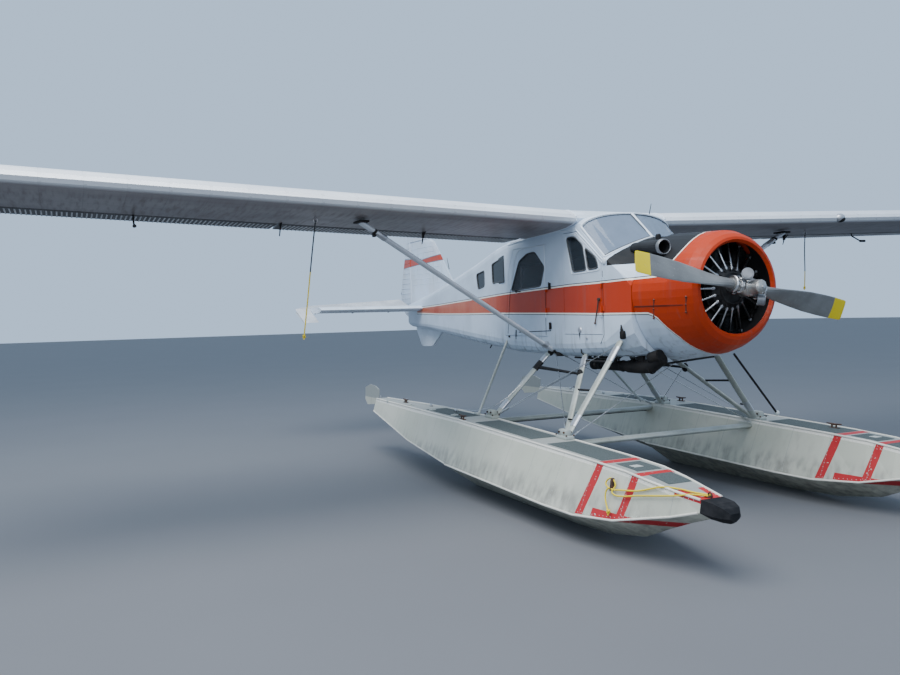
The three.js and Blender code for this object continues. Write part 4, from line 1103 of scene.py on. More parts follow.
@dataclass
class Nose:
    """What shows in and on the cowl: liner, cylinder fins, tubes, latches, scoop rim and exhaust."""

    kit: Kit
    cylinders: int = 9
    barrel: float = 0.086
    cylinder_aft: float = 0.42
    fin_count: int = 16
    first_head_fin: int = 12
    pipe: tuple[float, float] = (-0.33, -0.805)

    def spoke(self, index: float, radius: float, aft: float, side: float = 0.0) -> Vector:
        """Returns a point on the line of a cylinder, at a radius, a distance aft and to the side."""
        angle = index / self.cylinders * math.tau + math.pi / 2
        return at(aft, radius * math.cos(angle) - side * math.sin(angle),
                  radius * math.sin(angle) + side * math.cos(angle))

    def liner(self) -> None:
        """Lines the cowl's inside with a black baffle sheet that follows the opening's lip; its black is
        painted shade of the cowl's inside.
        """
        inside = [(0.136, 0.4475), (0.165, 0.468), (0.205, 0.492), (0.30, 0.525), (0.36, 0.515),
                  (0.42, 0.495), (0.56, 0.485)]
        outside = [(aft, radius + 0.004) for aft, radius in reversed(inside)]
        profile = [(-aft, radius) for aft, radius in inside + outside]
        liner = Shape().lathe(profile, at(0, 0, 0), AHEAD, 64)
        liner.done("cowl_liner", self.kit.dark, Slot.BLACK)

    def fins(self) -> None:
        """Stacks the thin cooling fins of the barrels and heads."""
        barrels, heads = Shape(), Shape()
        for index in range(self.cylinders):
            for step in range(self.fin_count):
                radius = 0.268 + step * 0.0145
                head = step >= self.first_head_fin
                size = self.barrel + (0.012 if head else 0.0) - (0.006 if step % 2 else 0.0)
                stack = heads if head else barrels
                stack.rod(self.spoke(index, radius, self.cylinder_aft),
                          self.spoke(index, radius + 0.004, self.cylinder_aft), size, 20)
            for side in (-0.052, 0.052):
                heads.box(self.spoke(index, 0.474, 0.345, side), (0.075, 0.036, 0.036), bevel=0.008)
        barrels.done("cylinder_fins", self.kit.engine, Slot.ENGINE)
        heads.done("cylinder_heads", self.kit.head, Slot.ENGINE)

    def tubes(self) -> None:
        """Fits the bright push rod tubes, their sockets, and the ignition ring with its leads."""
        tubes, sockets, leads = Shape(), Shape(), Shape()
        for index in range(self.cylinders):
            for side in (-1, 1):
                low = self.spoke(index, 0.185, 0.222, 0.033 * side)
                high = self.spoke(index, 0.490, 0.335, 0.088 * side)
                tubes.rod(low, high, 0.0105, 12)
                sockets.rod(low.lerp(high, 0.02), low.lerp(high, 0.10), 0.017, 12, 0.014)
                sockets.rod(low.lerp(high, 0.94), low.lerp(high, 1.0), 0.016, 12)
            lead = [self.spoke(index + 0.25, 0.262, 0.285), self.spoke(index + 0.22, 0.33, 0.31),
                    self.spoke(index + 0.16, 0.42, 0.325), self.spoke(index + 0.1, 0.47, 0.35)]
            leads.sweep(smooth_path(lead, 0.02), 0.006, 8)
        leads.ring(at(0.285, 0, 0), AHEAD, 0.262, 0.013, 48, 10)
        tubes.done("push_rod_tubes", self.kit.steel, Slot.METAL)
        sockets.done("push_rod_sockets", self.kit.silver, Slot.METAL)
        leads.done("ignition_ring", self.kit.sooty, Slot.ENGINE)

    def case(self) -> None:
        """Adds the flanges, studs and governor of the nose case."""
        case = Shape()
        for aft, radius in ((0.178, 0.152), (0.236, 0.216), (0.298, 0.252)):
            case.ring(at(aft, 0, 0), AHEAD, radius, 0.009, 40, 8)
        case.studs(16, 0.178, 0.192, 0.222, 0.009)
        governor = (0.075, 0.125)
        case.rod(at(0.19, *governor), at(0.30, *governor), 0.038, 16)
        case.rod(at(0.165, *governor), at(0.19, *governor), 0.026, 16)
        case.done("nose_case_fittings", self.kit.engine, Slot.ENGINE)

    def latches(self) -> None:
        """Adds the cowl's latches and its split line."""
        bars = Shape()
        for start, end in (((0.653, -0.584, -0.093), (0.715, -0.539, -0.275)),
                           ((0.217, -0.550, -0.078), (0.255, -0.520, -0.222))):
            for mirror in (1.0, -1.0):
                first, last = (at(a, y * mirror, h) for a, y, h in (start, end))
                bars.rod(first, last, 0.010, 12, flat=0.6)
                for point in (first, last, first.lerp(last, 0.5)):
                    bars.ball(point, (0.013, 0.013, 0.013), 12)
        bars.done("cowl_latches", self.kit.latch, Slot.ORANGE)
        seam = Shape()
        for mirror in (1.0, -1.0):
            for drop in (-0.150, -0.158):
                line = [at(aft, mirror * -math.sqrt(max(reach * reach - drop * drop, 0.0)), drop)
                        for aft, reach in ((0.20, 0.549), (0.30, 0.569), (0.42, 0.577), (0.60, 0.590),
                                           (0.80, 0.605), (0.96, 0.617))]
                seam.sweep(smooth_path(line, 0.05), 0.0022, 6)
        seam.done("cowl_split_line", self.kit.sooty, Slot.BLACK)

    def intake(self) -> None:
        """Rims the intake's mouth and adds the small filler cap behind it."""
        mouth = at(0.70, -0.405, 0.447)
        axis = (mouth - at(1.25, -0.345, 0.476)).normalized()
        rim = Shape().lathe([(-0.02, 0.066), (0.008, 0.067), (0.012, 0.073), (0.004, 0.080), (-0.03, 0.081),
                             (-0.03, 0.077)], mouth, axis, 40)
        rim.done("intake_rim", self.kit.weight, Slot.METAL)
        # The throat is a closed black tube inside the mouth: painted shade of the intake's inside.
        throat = Shape().lathe([(-0.022, 0.0642), (-0.25, 0.0642), (-0.25, 0.001), (-0.242, 0.001),
                                (-0.242, 0.060), (-0.022, 0.060)], mouth, axis, 32)
        throat.done("intake_throat", self.kit.dark, Slot.BLACK)
        foot = at(1.20, -0.065, 0.600)
        neck = foot + Vector((0, -0.006, 0.02))
        cap = Shape().rod(foot - Vector((0, 0, 0.03)), neck, 0.030, 20)
        cap.rod(neck, foot + Vector((0, -0.008, 0.034)), 0.026, 20, 0.018)
        cap.done("deck_filler_cap", self.kit.black, Slot.BLACK)

    def exhaust(self) -> None:
        """Adds the pipe's straps, hangers and the lip of its forward bend."""
        straps = Shape()
        for aft in (1.02, 1.20, 1.52, 1.90):
            straps.ring(at(aft, *self.pipe), AHEAD, 0.0585, 0.007, 28, 8)
        for aft in (1.10, 1.33, 1.60, 1.80):
            straps.box(at(aft, -0.33, -0.715), (0.028, 0.010, 0.07), bevel=0.003)
            straps.rod(at(aft - 0.03, -0.30, -0.70), at(aft + 0.03, -0.36, -0.74), 0.008, 8)
        lip = [(-0.02, 0.052), (0.02, 0.052), (0.02, 0.064), (-0.02, 0.064)]
        straps.lathe(lip, at(2.065, *self.pipe), AHEAD, 32)
        straps.done("exhaust_straps", self.kit.sooty, Slot.BLACK)
        bend = [at(0.88, -0.305, -0.695), at(0.95, -0.32, -0.745), at(1.03, -0.33, -0.788),
                at(1.20, *self.pipe), at(1.42, *self.pipe)]
        shroud = Shape().sweep(smooth_path(bend, 0.03), 0.068, 24)
        shroud.rod(at(0.865, -0.345, -0.665), at(1.00, -0.355, -0.700), 0.062, 24, 0.066)
        shroud.done("exhaust_shroud", self.kit.sooty, Slot.BLACK)

    def build(self) -> None:
        """Makes every piece of the nose."""
        self.liner()
        self.fins()
        self.tubes()
        self.case()
        self.latches()
        self.intake()
        self.exhaust()


@dataclass
class Propeller:
    """The propeller's detailed hub, which stands for the plain one."""

    kit: Kit
    rest: float = PROP_REST

    def place(self, aft: float, along: float, up: float) -> Vector:
        """Returns a point given aft, along the first blade and across it."""
        return at(aft, along * math.cos(self.rest) + up * math.sin(self.rest),
                  up * math.cos(self.rest) - along * math.sin(self.rest))

    def hub(self) -> None:
        """Makes the dome, the barrel, the clamps, the counterweights and the bolts."""
        profile = [(-0.108, 0.001), (-0.108, 0.060), (-0.06, 0.088), (0.055, 0.090), (0.075, 0.074),
                   (0.150, 0.068), (0.190, 0.066), (0.207, 0.050), (0.213, 0.028), (0.214, 0.001)]
        dome = Shape().lathe(profile, at(0, 0, 0), AHEAD, 40)
        dome.ring(self.place(-0.082, 0, 0), AHEAD, 0.074, 0.007, 36, 8)
        dome.rod(self.place(0, -0.189, 0), self.place(0, 0.189, 0), 0.071, 32)
        hub = dome.done("hub_dome", self.kit.dome, Slot.METAL, "propeller")
        rings = Shape()
        span = (self.place(0, 1, 0) - self.place(0, 0, 0)).normalized()
        for side in (-1, 1):
            for along, radius, thick in ((0.176, 0.073, 0.014), (0.118, 0.074, 0.008),
                                         (0.100, 0.074, 0.008)):
                rings.ring(self.place(0, side * along, 0), span, radius, thick, 36, 10)
            for turn in range(8):
                angle = turn / 8 * math.tau + 0.2
                spot = self.place(0.084 * math.cos(angle), side * 0.138, 0.084 * math.sin(angle))
                rings.rod(spot - span * 0.017, spot + span * 0.017, 0.008, 6)
        rings.done("blade_clamps", self.kit.steel, Slot.METAL, "propeller")
        weights = Shape()
        for side in (-1, 1):
            centre = self.place(-0.105, side * 0.105, -side * 0.105)
            facing = Vector((0.72, 0.0, 0.0)) + span * side * 0.69
            for start, end, radius in ((-0.034, 0.030, 0.056), (0.030, 0.038, 0.046)):
                weights.rod(centre + facing * start, centre + facing * end, radius, 32)
            weights.rod(self.place(-0.02, side * 0.10, -side * 0.02), centre, 0.022, 14)
            weights.box(self.place(-0.03, side * 0.092, -side * 0.052), (0.07, 0.05, 0.05), bevel=0.012)
        weights.done("counterweights", self.kit.weight, Slot.METAL, "propeller")
        nut = Shape()
        nut.rod(self.place(-0.21, 0, 0), self.place(-0.226, 0, 0), 0.016, 6)
        nut.studs(8, 0.056, -0.185, -0.203, 0.006)
        nut.done("dome_bolts", self.kit.steel, Slot.METAL, "propeller")
        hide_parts("propeller_hub")

    def cuffs(self) -> None:
        """Adds the round shanks where the blades leave the clamps."""
        shanks = Shape()
        for side in (-1, 1):
            shanks.rod(self.place(0, side * 0.188, 0), self.place(0, side * 0.215, 0), 0.054, 28, 0.050)
        shanks.done("blade_shanks", self.kit.blade, Slot.BLADE, "propeller")

    def build(self) -> None:
        """Makes every piece of the propeller."""
        self.hub()
        self.cuffs()


@dataclass
class Fuselage:
    """The trim of the fuselage: windscreen frame, seals, door furniture, fittings, aerials and lines."""

    kit: Kit
    front: tuple[float, ...] = (1.440, 1.380, 0.625, 0.390, 0.620, 1.8)
    back: tuple[float, ...] = (1.900, 1.760, 0.625, 0.755, 0.940, 0.8)

    def screen(self, arch: float, share: float, side: float) -> Vector:
        """Returns a point of the windscreen's surface, by its shares of the arch and of the slope."""
        def ring(section: tuple[float, ...], step: float) -> Vector:
            """Returns a point of one section."""
            aft_side, aft_crown, half, shoulder, crown, square = section
            angle = step / 8 * math.pi / 2
            return at(aft_side + (aft_crown - aft_side) * step / 8,
                      0.0 if step > 7.99 else side * half * math.cos(angle) ** square,
                      shoulder + (crown - shoulder) * math.sin(angle) ** square)

        step = min(int(arch * 8), 7)
        points = [ring(s, step).lerp(ring(s, step + 1), arch * 8 - step) for s in (self.front, self.back)]
        return points[0].lerp(points[1], share)

    def windscreen(self) -> None:
        """Frames the two panes with bright strips and seals them."""
        archs = [0.09, 0.18, 0.27, 0.375, 0.5, 0.625, 0.75, 0.875, 0.985]
        inner, outer = 0.105, 0.978
        foot, head = 0.035, 0.915
        frame, seal = Shape(), Shape()
        for side in (-1.0, 1.0):
            low = [self.screen(arch, 0.0, side) for arch in archs]
            high = [self.screen(arch, 0.95, side) for arch in archs]
            for path, radius in ((low, 0.012), (high, 0.012), ([low[0], high[0]], 0.013)):
                frame.sweep(smooth_path(path, 0.04), radius, 10)
            for arch in (inner, outer):
                seal.sweep([self.screen(arch, foot, side), self.screen(arch, head, side)], 0.006, 8)
            for share, radius in ((foot, 0.006), (head, 0.003)):
                path = [self.screen(max(inner, min(outer, arch)), share, side) for arch in archs]
                seal.sweep(path, radius, 8)
            frame.ball(at(1.425, side * 0.628, 0.352), (0.032, 0.016, 0.040), 16)
        frame.rod(self.screen(1.0, 0.0, 1.0), self.screen(1.0, 0.95, 1.0), 0.017, 12, flat=0.5, across=PORT)
        frame.done("windscreen_frame", self.kit.white, Slot.WHITE)
        seal.done("windscreen_seal", self.kit.seal, Slot.RUBBER)

    def pillars(self) -> None:
        """Adds the strips along the front pillars and the gutters over the doors."""
        strips = Shape()
        for side in (-1.0, 1.0):
            for lift in (0.0, 0.036):
                pillar = [(1.452, 0.334 + lift), (1.955, 0.713 + lift)]
                strips.sweep(on_side(side, pillar, 0.004), 0.0075, 8)
            gutter = [(2.04, 0.745), (2.5, 0.775), (3.3, 0.735), (3.56, 0.715)]
            strips.sweep(on_side(side, gutter, 0.002), 0.006, 8)
        strips.done("pillar_strips", self.kit.white, Slot.WHITE)
        seams = Shape()
        for side in (-1.0, 1.0):
            seams.sweep(on_side(side, [(1.463, 0.250), (1.455, -0.45), (1.52, -0.545)]), 0.0035, 6)
            seams.sweep(on_side(side, [(2.540, -0.30), (2.545, -0.408), (3.324, -0.430)]), 0.0055, 6)
            seams.box(at(3.576, side * 0.630, -0.487), (0.035, 0.016, 0.030), bevel=0.004)
        seams.done("door_seams", self.kit.sooty, Slot.BLACK)

    @staticmethod
    def rounded(outline: Sequence[tuple[float, float]], radius: float) -> list[tuple[float, float]]:
        """Rounds the corners of an outline.

        Args:
            outline: Its corners, as aft and height.
            radius: How far before each corner the bend starts.

        Returns:
            The new outline.
        """
        rounded: list[tuple[float, float]] = []
        for index, corner in enumerate(outline):
            before, after = Vector(outline[index - 1]), Vector(outline[(index + 1) % len(outline)])
            middle = Vector(corner)
            start = middle + (before - middle).normalized() * radius
            end = middle + (after - middle).normalized() * radius
            for t in (0.0, 0.25, 0.5, 0.75, 1.0):
                point = start * (1 - t) ** 2 + middle * 2 * t * (1 - t) + end * t * t
                rounded.append((point.x, point.y))
        return rounded

    def border(self, shape: Shape, side: float, outline: Sequence[tuple[float, float]], corner: float,
               out: float, radius: float) -> None:
        """Runs a strip round a window.

        Args:
            shape: The piece that the strip is added to.
            side: 1 for port and -1 for starboard.
            outline: The window's corners, as aft and height.
            corner: How far before each corner its bend starts.
            out: How far the strip lies out of the skin.
            radius: The strip's radius.
        """
        path = on_side(side, self.rounded(outline, corner), out)
        shape.sweep([*path, path[0], path[1]], radius, 8)

    def windows(self) -> None:
        """Frames the side windows with rubber seals and trim, and draws the cabin doors' lines."""
        door = [[(1.770, 0.275), (2.040, 0.268), (2.160, 0.670), (2.000, 0.675), (1.830, 0.560)],
                [(1.540, 0.285), (1.735, 0.277), (1.790, 0.530), (1.580, 0.400)]]
        cabin = [[(2.760, 0.140), (3.500, 0.110), (3.280, 0.480), (3.080, 0.560), (2.890, 0.570),
                  (2.665, 0.370)]]
        rear = [[(3.712, 0.252), (4.070, 0.230), (4.082, 0.499), (3.716, 0.562)],
                [(4.374, 0.209), (4.629, 0.178), (4.684, 0.392), (4.371, 0.431)]]
        rims = [[(1.745, 0.25), (2.062, 0.243), (2.185, 0.695), (1.985, 0.70), (1.81, 0.58)],
                [(1.515, 0.26), (1.745, 0.25), (1.815, 0.565), (1.555, 0.415)]]
        arch = [(3.515, 0.14), (3.42, 0.42), (3.33, 0.585), (3.20, 0.635), (2.72, 0.632), (2.66, 0.60),
                (2.658, 0.16)]
        for label, side in SIDES.items():
            for name, outlines, body in (("cockpit_seal", door, f"cockpit_door_{label}"),
                                         ("cabin_seal", cabin, f"cabin_door_{label}"),
                                         ("rear_seal", rear, "airframe")):
                seal = Shape()
                for outline in outlines:
                    self.border(seal, side, outline, 0.045, -0.001, 0.009)
                seal.done(f"{name}_{label}", self.kit.seal, Slot.RUBBER, body)
            trim = Shape()
            for outline in rims:
                self.border(trim, side, outline, 0.03, 0.0, 0.0065)
            trim.done(f"cockpit_window_trim_{label}", self.kit.white, Slot.WHITE, f"cockpit_door_{label}")
            trim = Shape().sweep(smooth_path(on_side(side, arch), 0.04), 0.007, 8)
            trim.done(f"cabin_door_trim_{label}", self.kit.white, Slot.WHITE, f"cabin_door_{label}")
            line = Shape()
            line.sweep(on_side(side, [(3.618, -0.45), (3.545, 0.02), (3.518, 0.13)]), 0.004, 6)
            line.sweep(on_side(side, [(2.658, 0.15), (2.655, -0.46)]), 0.004, 6)
            line.done(f"cabin_door_lines_{label}", self.kit.sooty, Slot.BLACK, f"cabin_door_{label}")

    def door_furniture(self) -> None:
        """Adds the handles and hinge covers of the doors."""
        pivot, latch = (1.530, -0.060), (3.36, 0.10)
        for label, side in SIDES.items():
            handle = Shape()
            path = on_side(side, [pivot, (1.550, -0.160), (1.600, -0.320)], 0.016)
            handle.sweep(smooth_path(path, 0.02), 0.007, 10)
            handle.rod(*on_side(side, [pivot]), *on_side(side, [pivot], 0.020), 0.019, 20)
            handle.ball(path[-1], (0.013, 0.011, 0.016), 12)
            handle.done(f"cockpit_handle_{label}", self.kit.rust, Slot.BLACK, f"cockpit_door_{label}")
            handle = Shape()
            place = on_side(side, [latch, (3.24, 0.095)], 0.016)
            handle.rod(*place, 0.008, 10)
            handle.rod(*on_side(side, [latch]), place[0], 0.018, 16)
            handle.done(f"cabin_handle_{label}", self.kit.sooty, Slot.BLACK, f"cabin_door_{label}")
            hinges = Shape()
            for height in (0.132, -0.351):
                hinges.box(at(2.540, side * 0.633, height), (0.030, 0.018, 0.075), bevel=0.004)
                pin = at(2.540, side * 0.646, height)
                hinges.rod(pin - UP * 0.045, pin + UP * 0.045, 0.008, 10)
            hinges.done(f"cabin_hinge_covers_{label}", self.kit.sooty, Slot.BLACK)

    def fittings(self) -> None:
        """Adds the fuel fillers, drains, steps, strut root fairings and the belly's small parts."""
        caps, dark, root = Shape(), Shape(), Shape()
        for side in (-1.0, 1.0):
            for aft, height, size in ((1.921, -0.397, 0.036), (1.784, -0.487, 0.016)):
                spot = on_side(side, [(aft, height)])[0]
                caps.rod(spot, spot + Vector((0, side * 0.012, 0)), size, 20, size * 0.8)
            dark.sweep([at(1.926, side * 0.628, -0.43), at(1.935, side * 0.600, -0.66),
                        at(1.90, side * 0.555, -0.705)], 0.007, 8)
            dark.box(at(1.136, side * 0.615, -0.447), (0.06, 0.05, 0.09), bevel=0.014)
            dark.rod(at(1.136, side * 0.628, -0.40), at(1.15, side * 0.625, -0.34), 0.016, 10, 0.006)
            root.ball(at(2.650, side * 0.590, -0.575), (0.085, 0.055, 0.060), 20)
            dark.box(at(2.572, side * 0.580, -0.605), (0.05, 0.05, 0.05), bevel=0.010)
            dark.box(at(2.47, side * 0.548, -0.688), (0.09, 0.085, 0.055), bevel=0.018)
            dark.rod(at(2.52, side * 0.60, -0.64), at(2.50, side * 0.545, -0.705), 0.022, 12)
            dark.box(at(3.405, side * 0.612, -0.500), (0.022, 0.030, 0.050), bevel=0.006)
            dark.sweep(on_side(side, [(3.39, -0.40), (3.40, -0.49)], 0.004), 0.007, 8)
        caps.done("fuel_caps", self.kit.silver, Slot.METAL)
        root.done("strut_root_fairings", self.kit.silver, Slot.METAL)
        for aft, size in ((1.55, 0.05), (1.72, 0.035), (1.95, 0.04)):
            dark.rod(at(aft, -0.40, -0.695), at(aft + 0.02, -0.40, -0.75), size * 0.5, 12, size * 0.35)
            dark.box(at(aft + 0.07, -0.43, -0.715), (size, 0.03, 0.035), bevel=0.008)
        dark.sweep([at(1.35, -0.50, -0.70), at(1.7, -0.50, -0.725), at(2.25, -0.48, -0.725)], 0.012, 10)
        for side in (-1.0, 1.0):
            dark.rod(at(2.710, side * 0.765, -0.874), at(2.687, side * 0.685, -0.784), 0.056, 20, flat=0.55)
            bar_end = at(1.760, side * 0.745, -0.885)
            dark.rod(at(2.700, side * 0.720, -0.850), bar_end, 0.022, 14, 0.013)
            dark.ball(bar_end, (0.050, 0.030, 0.055), 14)
            dark.rod(at(2.600, side * 0.580, -0.640), at(2.655, side * 0.580, -0.690), 0.045, 14, 0.035)
        for aft in (1.62, 1.84, 2.08):
            drain = at(aft + 0.03, -0.47, -0.80)
            dark.rod(at(aft, -0.46, -0.70), drain, 0.016, 10, 0.010)
            dark.ball(drain, (0.026, 0.022, 0.022), 12)
        dark.rod(at(5.186, 0.0, -0.570), at(5.33, 0.0, -0.703), 0.014, 10, 0.008)
        for aft in (7.724, 7.90):
            dark.box(at(aft, 0.0, -0.432), (0.06, 0.034, 0.045), bevel=0.005)
        dark.done("belly_fittings", self.kit.sooty, Slot.BLACK)

    def aerials(self) -> None:
        """Adds the whip and blade aerials and the lamp on the roof."""
        wires = Shape()
        wires.rod(at(1.790, 0.28, 0.910), at(1.745, 0.28, 1.045), 0.006, 8, 0.003)
        wires.rod(at(1.795, 0.28, 0.870), at(1.790, 0.28, 0.915), 0.018, 12, 0.010)
        wires.rod(at(6.763, 0.0, 0.60), at(6.835, 0.0, 0.80), 0.007, 8, 0.003)
        for aft in (6.42, 6.30, 6.15):
            wires.box(at(aft, 0.0, 0.375), (0.09, 0.012, 0.05), bevel=0.004)
        wires.done("aerials", self.kit.black, Slot.BLACK)
        dome = [(0.0, 0.001), (0.0, 0.045), (0.02, 0.045), (0.055, 0.034), (0.068, 0.018), (0.072, 0.001)]
        lamp = Shape().lathe(dome, at(3.0, 0.0, 1.012), UP, 24)
        lamp.done("roof_beacon", self.kit.red, Slot.GLASS)

    def build(self) -> None:
        """Makes every piece of the fuselage."""
        self.windscreen()
        self.pillars()
        self.windows()
        self.door_furniture()
        self.fittings()
        self.aerials()


@dataclass
class Wings:
    """The wings' trim: flap and aileron beads, hinge arms, lamps, rings, strut cuffs and root strips."""

    kit: Kit
    aft: float = 1.931
    height: float = 0.854
    chord: float = 1.5875
    drop: float = 0.138
    pitch: float = 0.047
    thick: float = 0.15
    camber: float = 0.035
    bead_shares: tuple[float, ...] = (0.785, 0.86, 0.93, 0.996)
    root_shares: tuple[float, ...] = (0.002, 0.03, 0.1, 0.25, 0.4, 0.55, 0.7, 0.75)

    def surface(self, share: float, upper: bool) -> tuple[float, float]:
        """Returns how far along and how high the airfoil's skin lies at a share of the chord."""
        half = 5 * self.thick * thickness(share)
        bow = (self.camber / 0.16 * (0.8 * share - share ** 2) if share < 0.4
               else self.camber / 0.36 * (0.2 + 0.8 * share - share ** 2))
        up = (bow + half if upper else bow - half) * self.chord
        return share * self.chord, up - share * self.drop

    def place(self, side: float, along: float, y: float, up: float) -> Vector:
        """Returns a point of one wing, which rises by its dihedral from the centre plane."""
        return at(self.aft + along, side * (y * math.cos(DIHEDRAL) - up * math.sin(DIHEDRAL)),
                  self.height + y * math.sin(DIHEDRAL) + up * math.cos(DIHEDRAL))

    def beads(self, side: float, start: float, end: float) -> Shape:
        """Presses the chordwise beads of a flap or an aileron.

        Args:
            side: 1 for port and -1 for starboard.
            start: The first offset from the centre plane.
            end: The last one.

        Returns:
            The beads.
        """
        shape = Shape()
        count = int((end - start) / self.pitch)
        for index in range(count):
            y = start + (index + 0.5) * self.pitch
            for upper in (True, False):
                shape.sweep([self.sunk(side, share, y, upper) for share in self.bead_shares], 0.0105, 6)
        return shape

    def sunk(self, side: float, share: float, y: float, upper: bool) -> Vector:
        """Returns a point a little inside the wing's skin."""
        along, up = self.surface(share, upper)
        return self.place(side, along, y, up - (0.005 if upper else -0.005))

    def skins(self) -> None:
        """Makes the beads of the four moving surfaces."""
        for label, side in SIDES.items():
            for part, start, end in (("flap", 0.72, 3.72), ("aileron", 3.80, 6.92)):
                body = f"{part}_{label}"
                self.beads(side, start, end).done(f"{body}_beads", self.kit.ribbed, Slot.CORRUGATED, body)

    def horns(self) -> None:
        """Adds the hinge arms that hang under the flaps and ailerons."""
        for label, side in SIDES.items():
            arms = Shape()
            for y in (2.05, 3.758):
                arms.box(self.place(side, 1.12, y, -0.150), (0.05, 0.010, 0.10), bevel=0.003)
                head, foot = self.place(side, 1.086, y, -0.115), self.place(side, 1.15, y, -0.265)
                arms.rod(head, foot, 0.009, 10, 0.006)
                arms.rod(self.place(side, 1.02, y, -0.10), self.place(side, 1.14, y, -0.215), 0.006, 8)
            arms.done(f"hinge_arms_{label}", self.kit.sooty, Slot.METAL)

    def lamps(self) -> None:
        """Adds the landing lamp, the wing tip lamps and the tie-down rings."""
        dark, bright, glass = Shape(), Shape(), Shape()
        glass.ball(self.place(1, 0.020, 3.62, 0.000), (0.062, 0.072, 0.058), 24)
        dark.ball(self.place(1, 0.018, 3.63, -0.018), (0.061, 0.062, 0.046), 24)
        for side in SIDES.values():
            bright.ring(self.place(side, 0.526, 3.527, -0.150), AHEAD, 0.022, 0.0055, 24, 8)
        dark.done("wing_dark_fittings", self.kit.black, Slot.BLACK)
        bright.done("wing_bright_fittings", self.kit.steel, Slot.METAL)
        glass.done("landing_lamp", self.kit.silver, Slot.METAL)
        for side, label, finish in ((1.0, "port", self.kit.red), (-1.0, "starboard", self.kit.green)):
            lamp = Shape().ball(self.place(side, 0.50, 7.292, 0.02), (0.045, 0.022, 0.020), 16)
            lamp.done(f"tip_lamp_{label}", finish, Slot.GLASS)

    def struts(self) -> None:
        """Adds the cuffs and bolts at the ends of the lift struts."""
        cuffs, bolts = Shape(), Shape()
        for side in SIDES.values():
            low, high = at(2.590, side * 0.590, -0.640), at(2.411, side * 3.058, 0.830)
            axis = (high - low).normalized()
            cuffs.rod(low + axis * 0.10, low + axis * 0.17, 0.063, 24, 0.063, 0.47)
            cuffs.rod(high - axis * 0.34, high - axis * 0.14, 0.062, 24, 0.052, 0.5)
            for along in (0.12, 0.15):
                centre = low + axis * along
                bolts.rod(centre - Vector((0, 0.036, 0)), centre + Vector((0, 0.036, 0)), 0.009, 6)
            bolts.box(high - axis * 0.02 + Vector((0, 0, 0.010)), (0.20, 0.12, 0.024), bevel=0.008)
            bolts.rod(high - axis * 0.205, high - axis * 0.175, 0.060, 20, 0.060, 0.5)
            bolts.box(high - axis * 0.19 - Vector((0, 0, 0.045)), (0.05, 0.035, 0.03), bevel=0.006)
        cuffs.done("strut_cuffs", self.kit.silver, Slot.METAL)
        bolts.done("strut_end_fittings", self.kit.sooty, Slot.METAL)

    def root(self) -> None:
        """Adds the gap strips where the wings meet the cabin roof."""
        strips = Shape()
        for side in SIDES.values():
            for upper in (True, False):
                skin = [self.surface(share, upper) for share in self.root_shares]
                strips.sweep([self.place(side, along, 0.632, up) for along, up in skin], 0.009, 8)
        strips.done("wing_root_strips", self.kit.white, Slot.WHITE)

    def build(self) -> None:
        """Makes every piece of the wings."""
        self.skins()
        self.horns()
        self.lamps()
        self.struts()
        self.root()


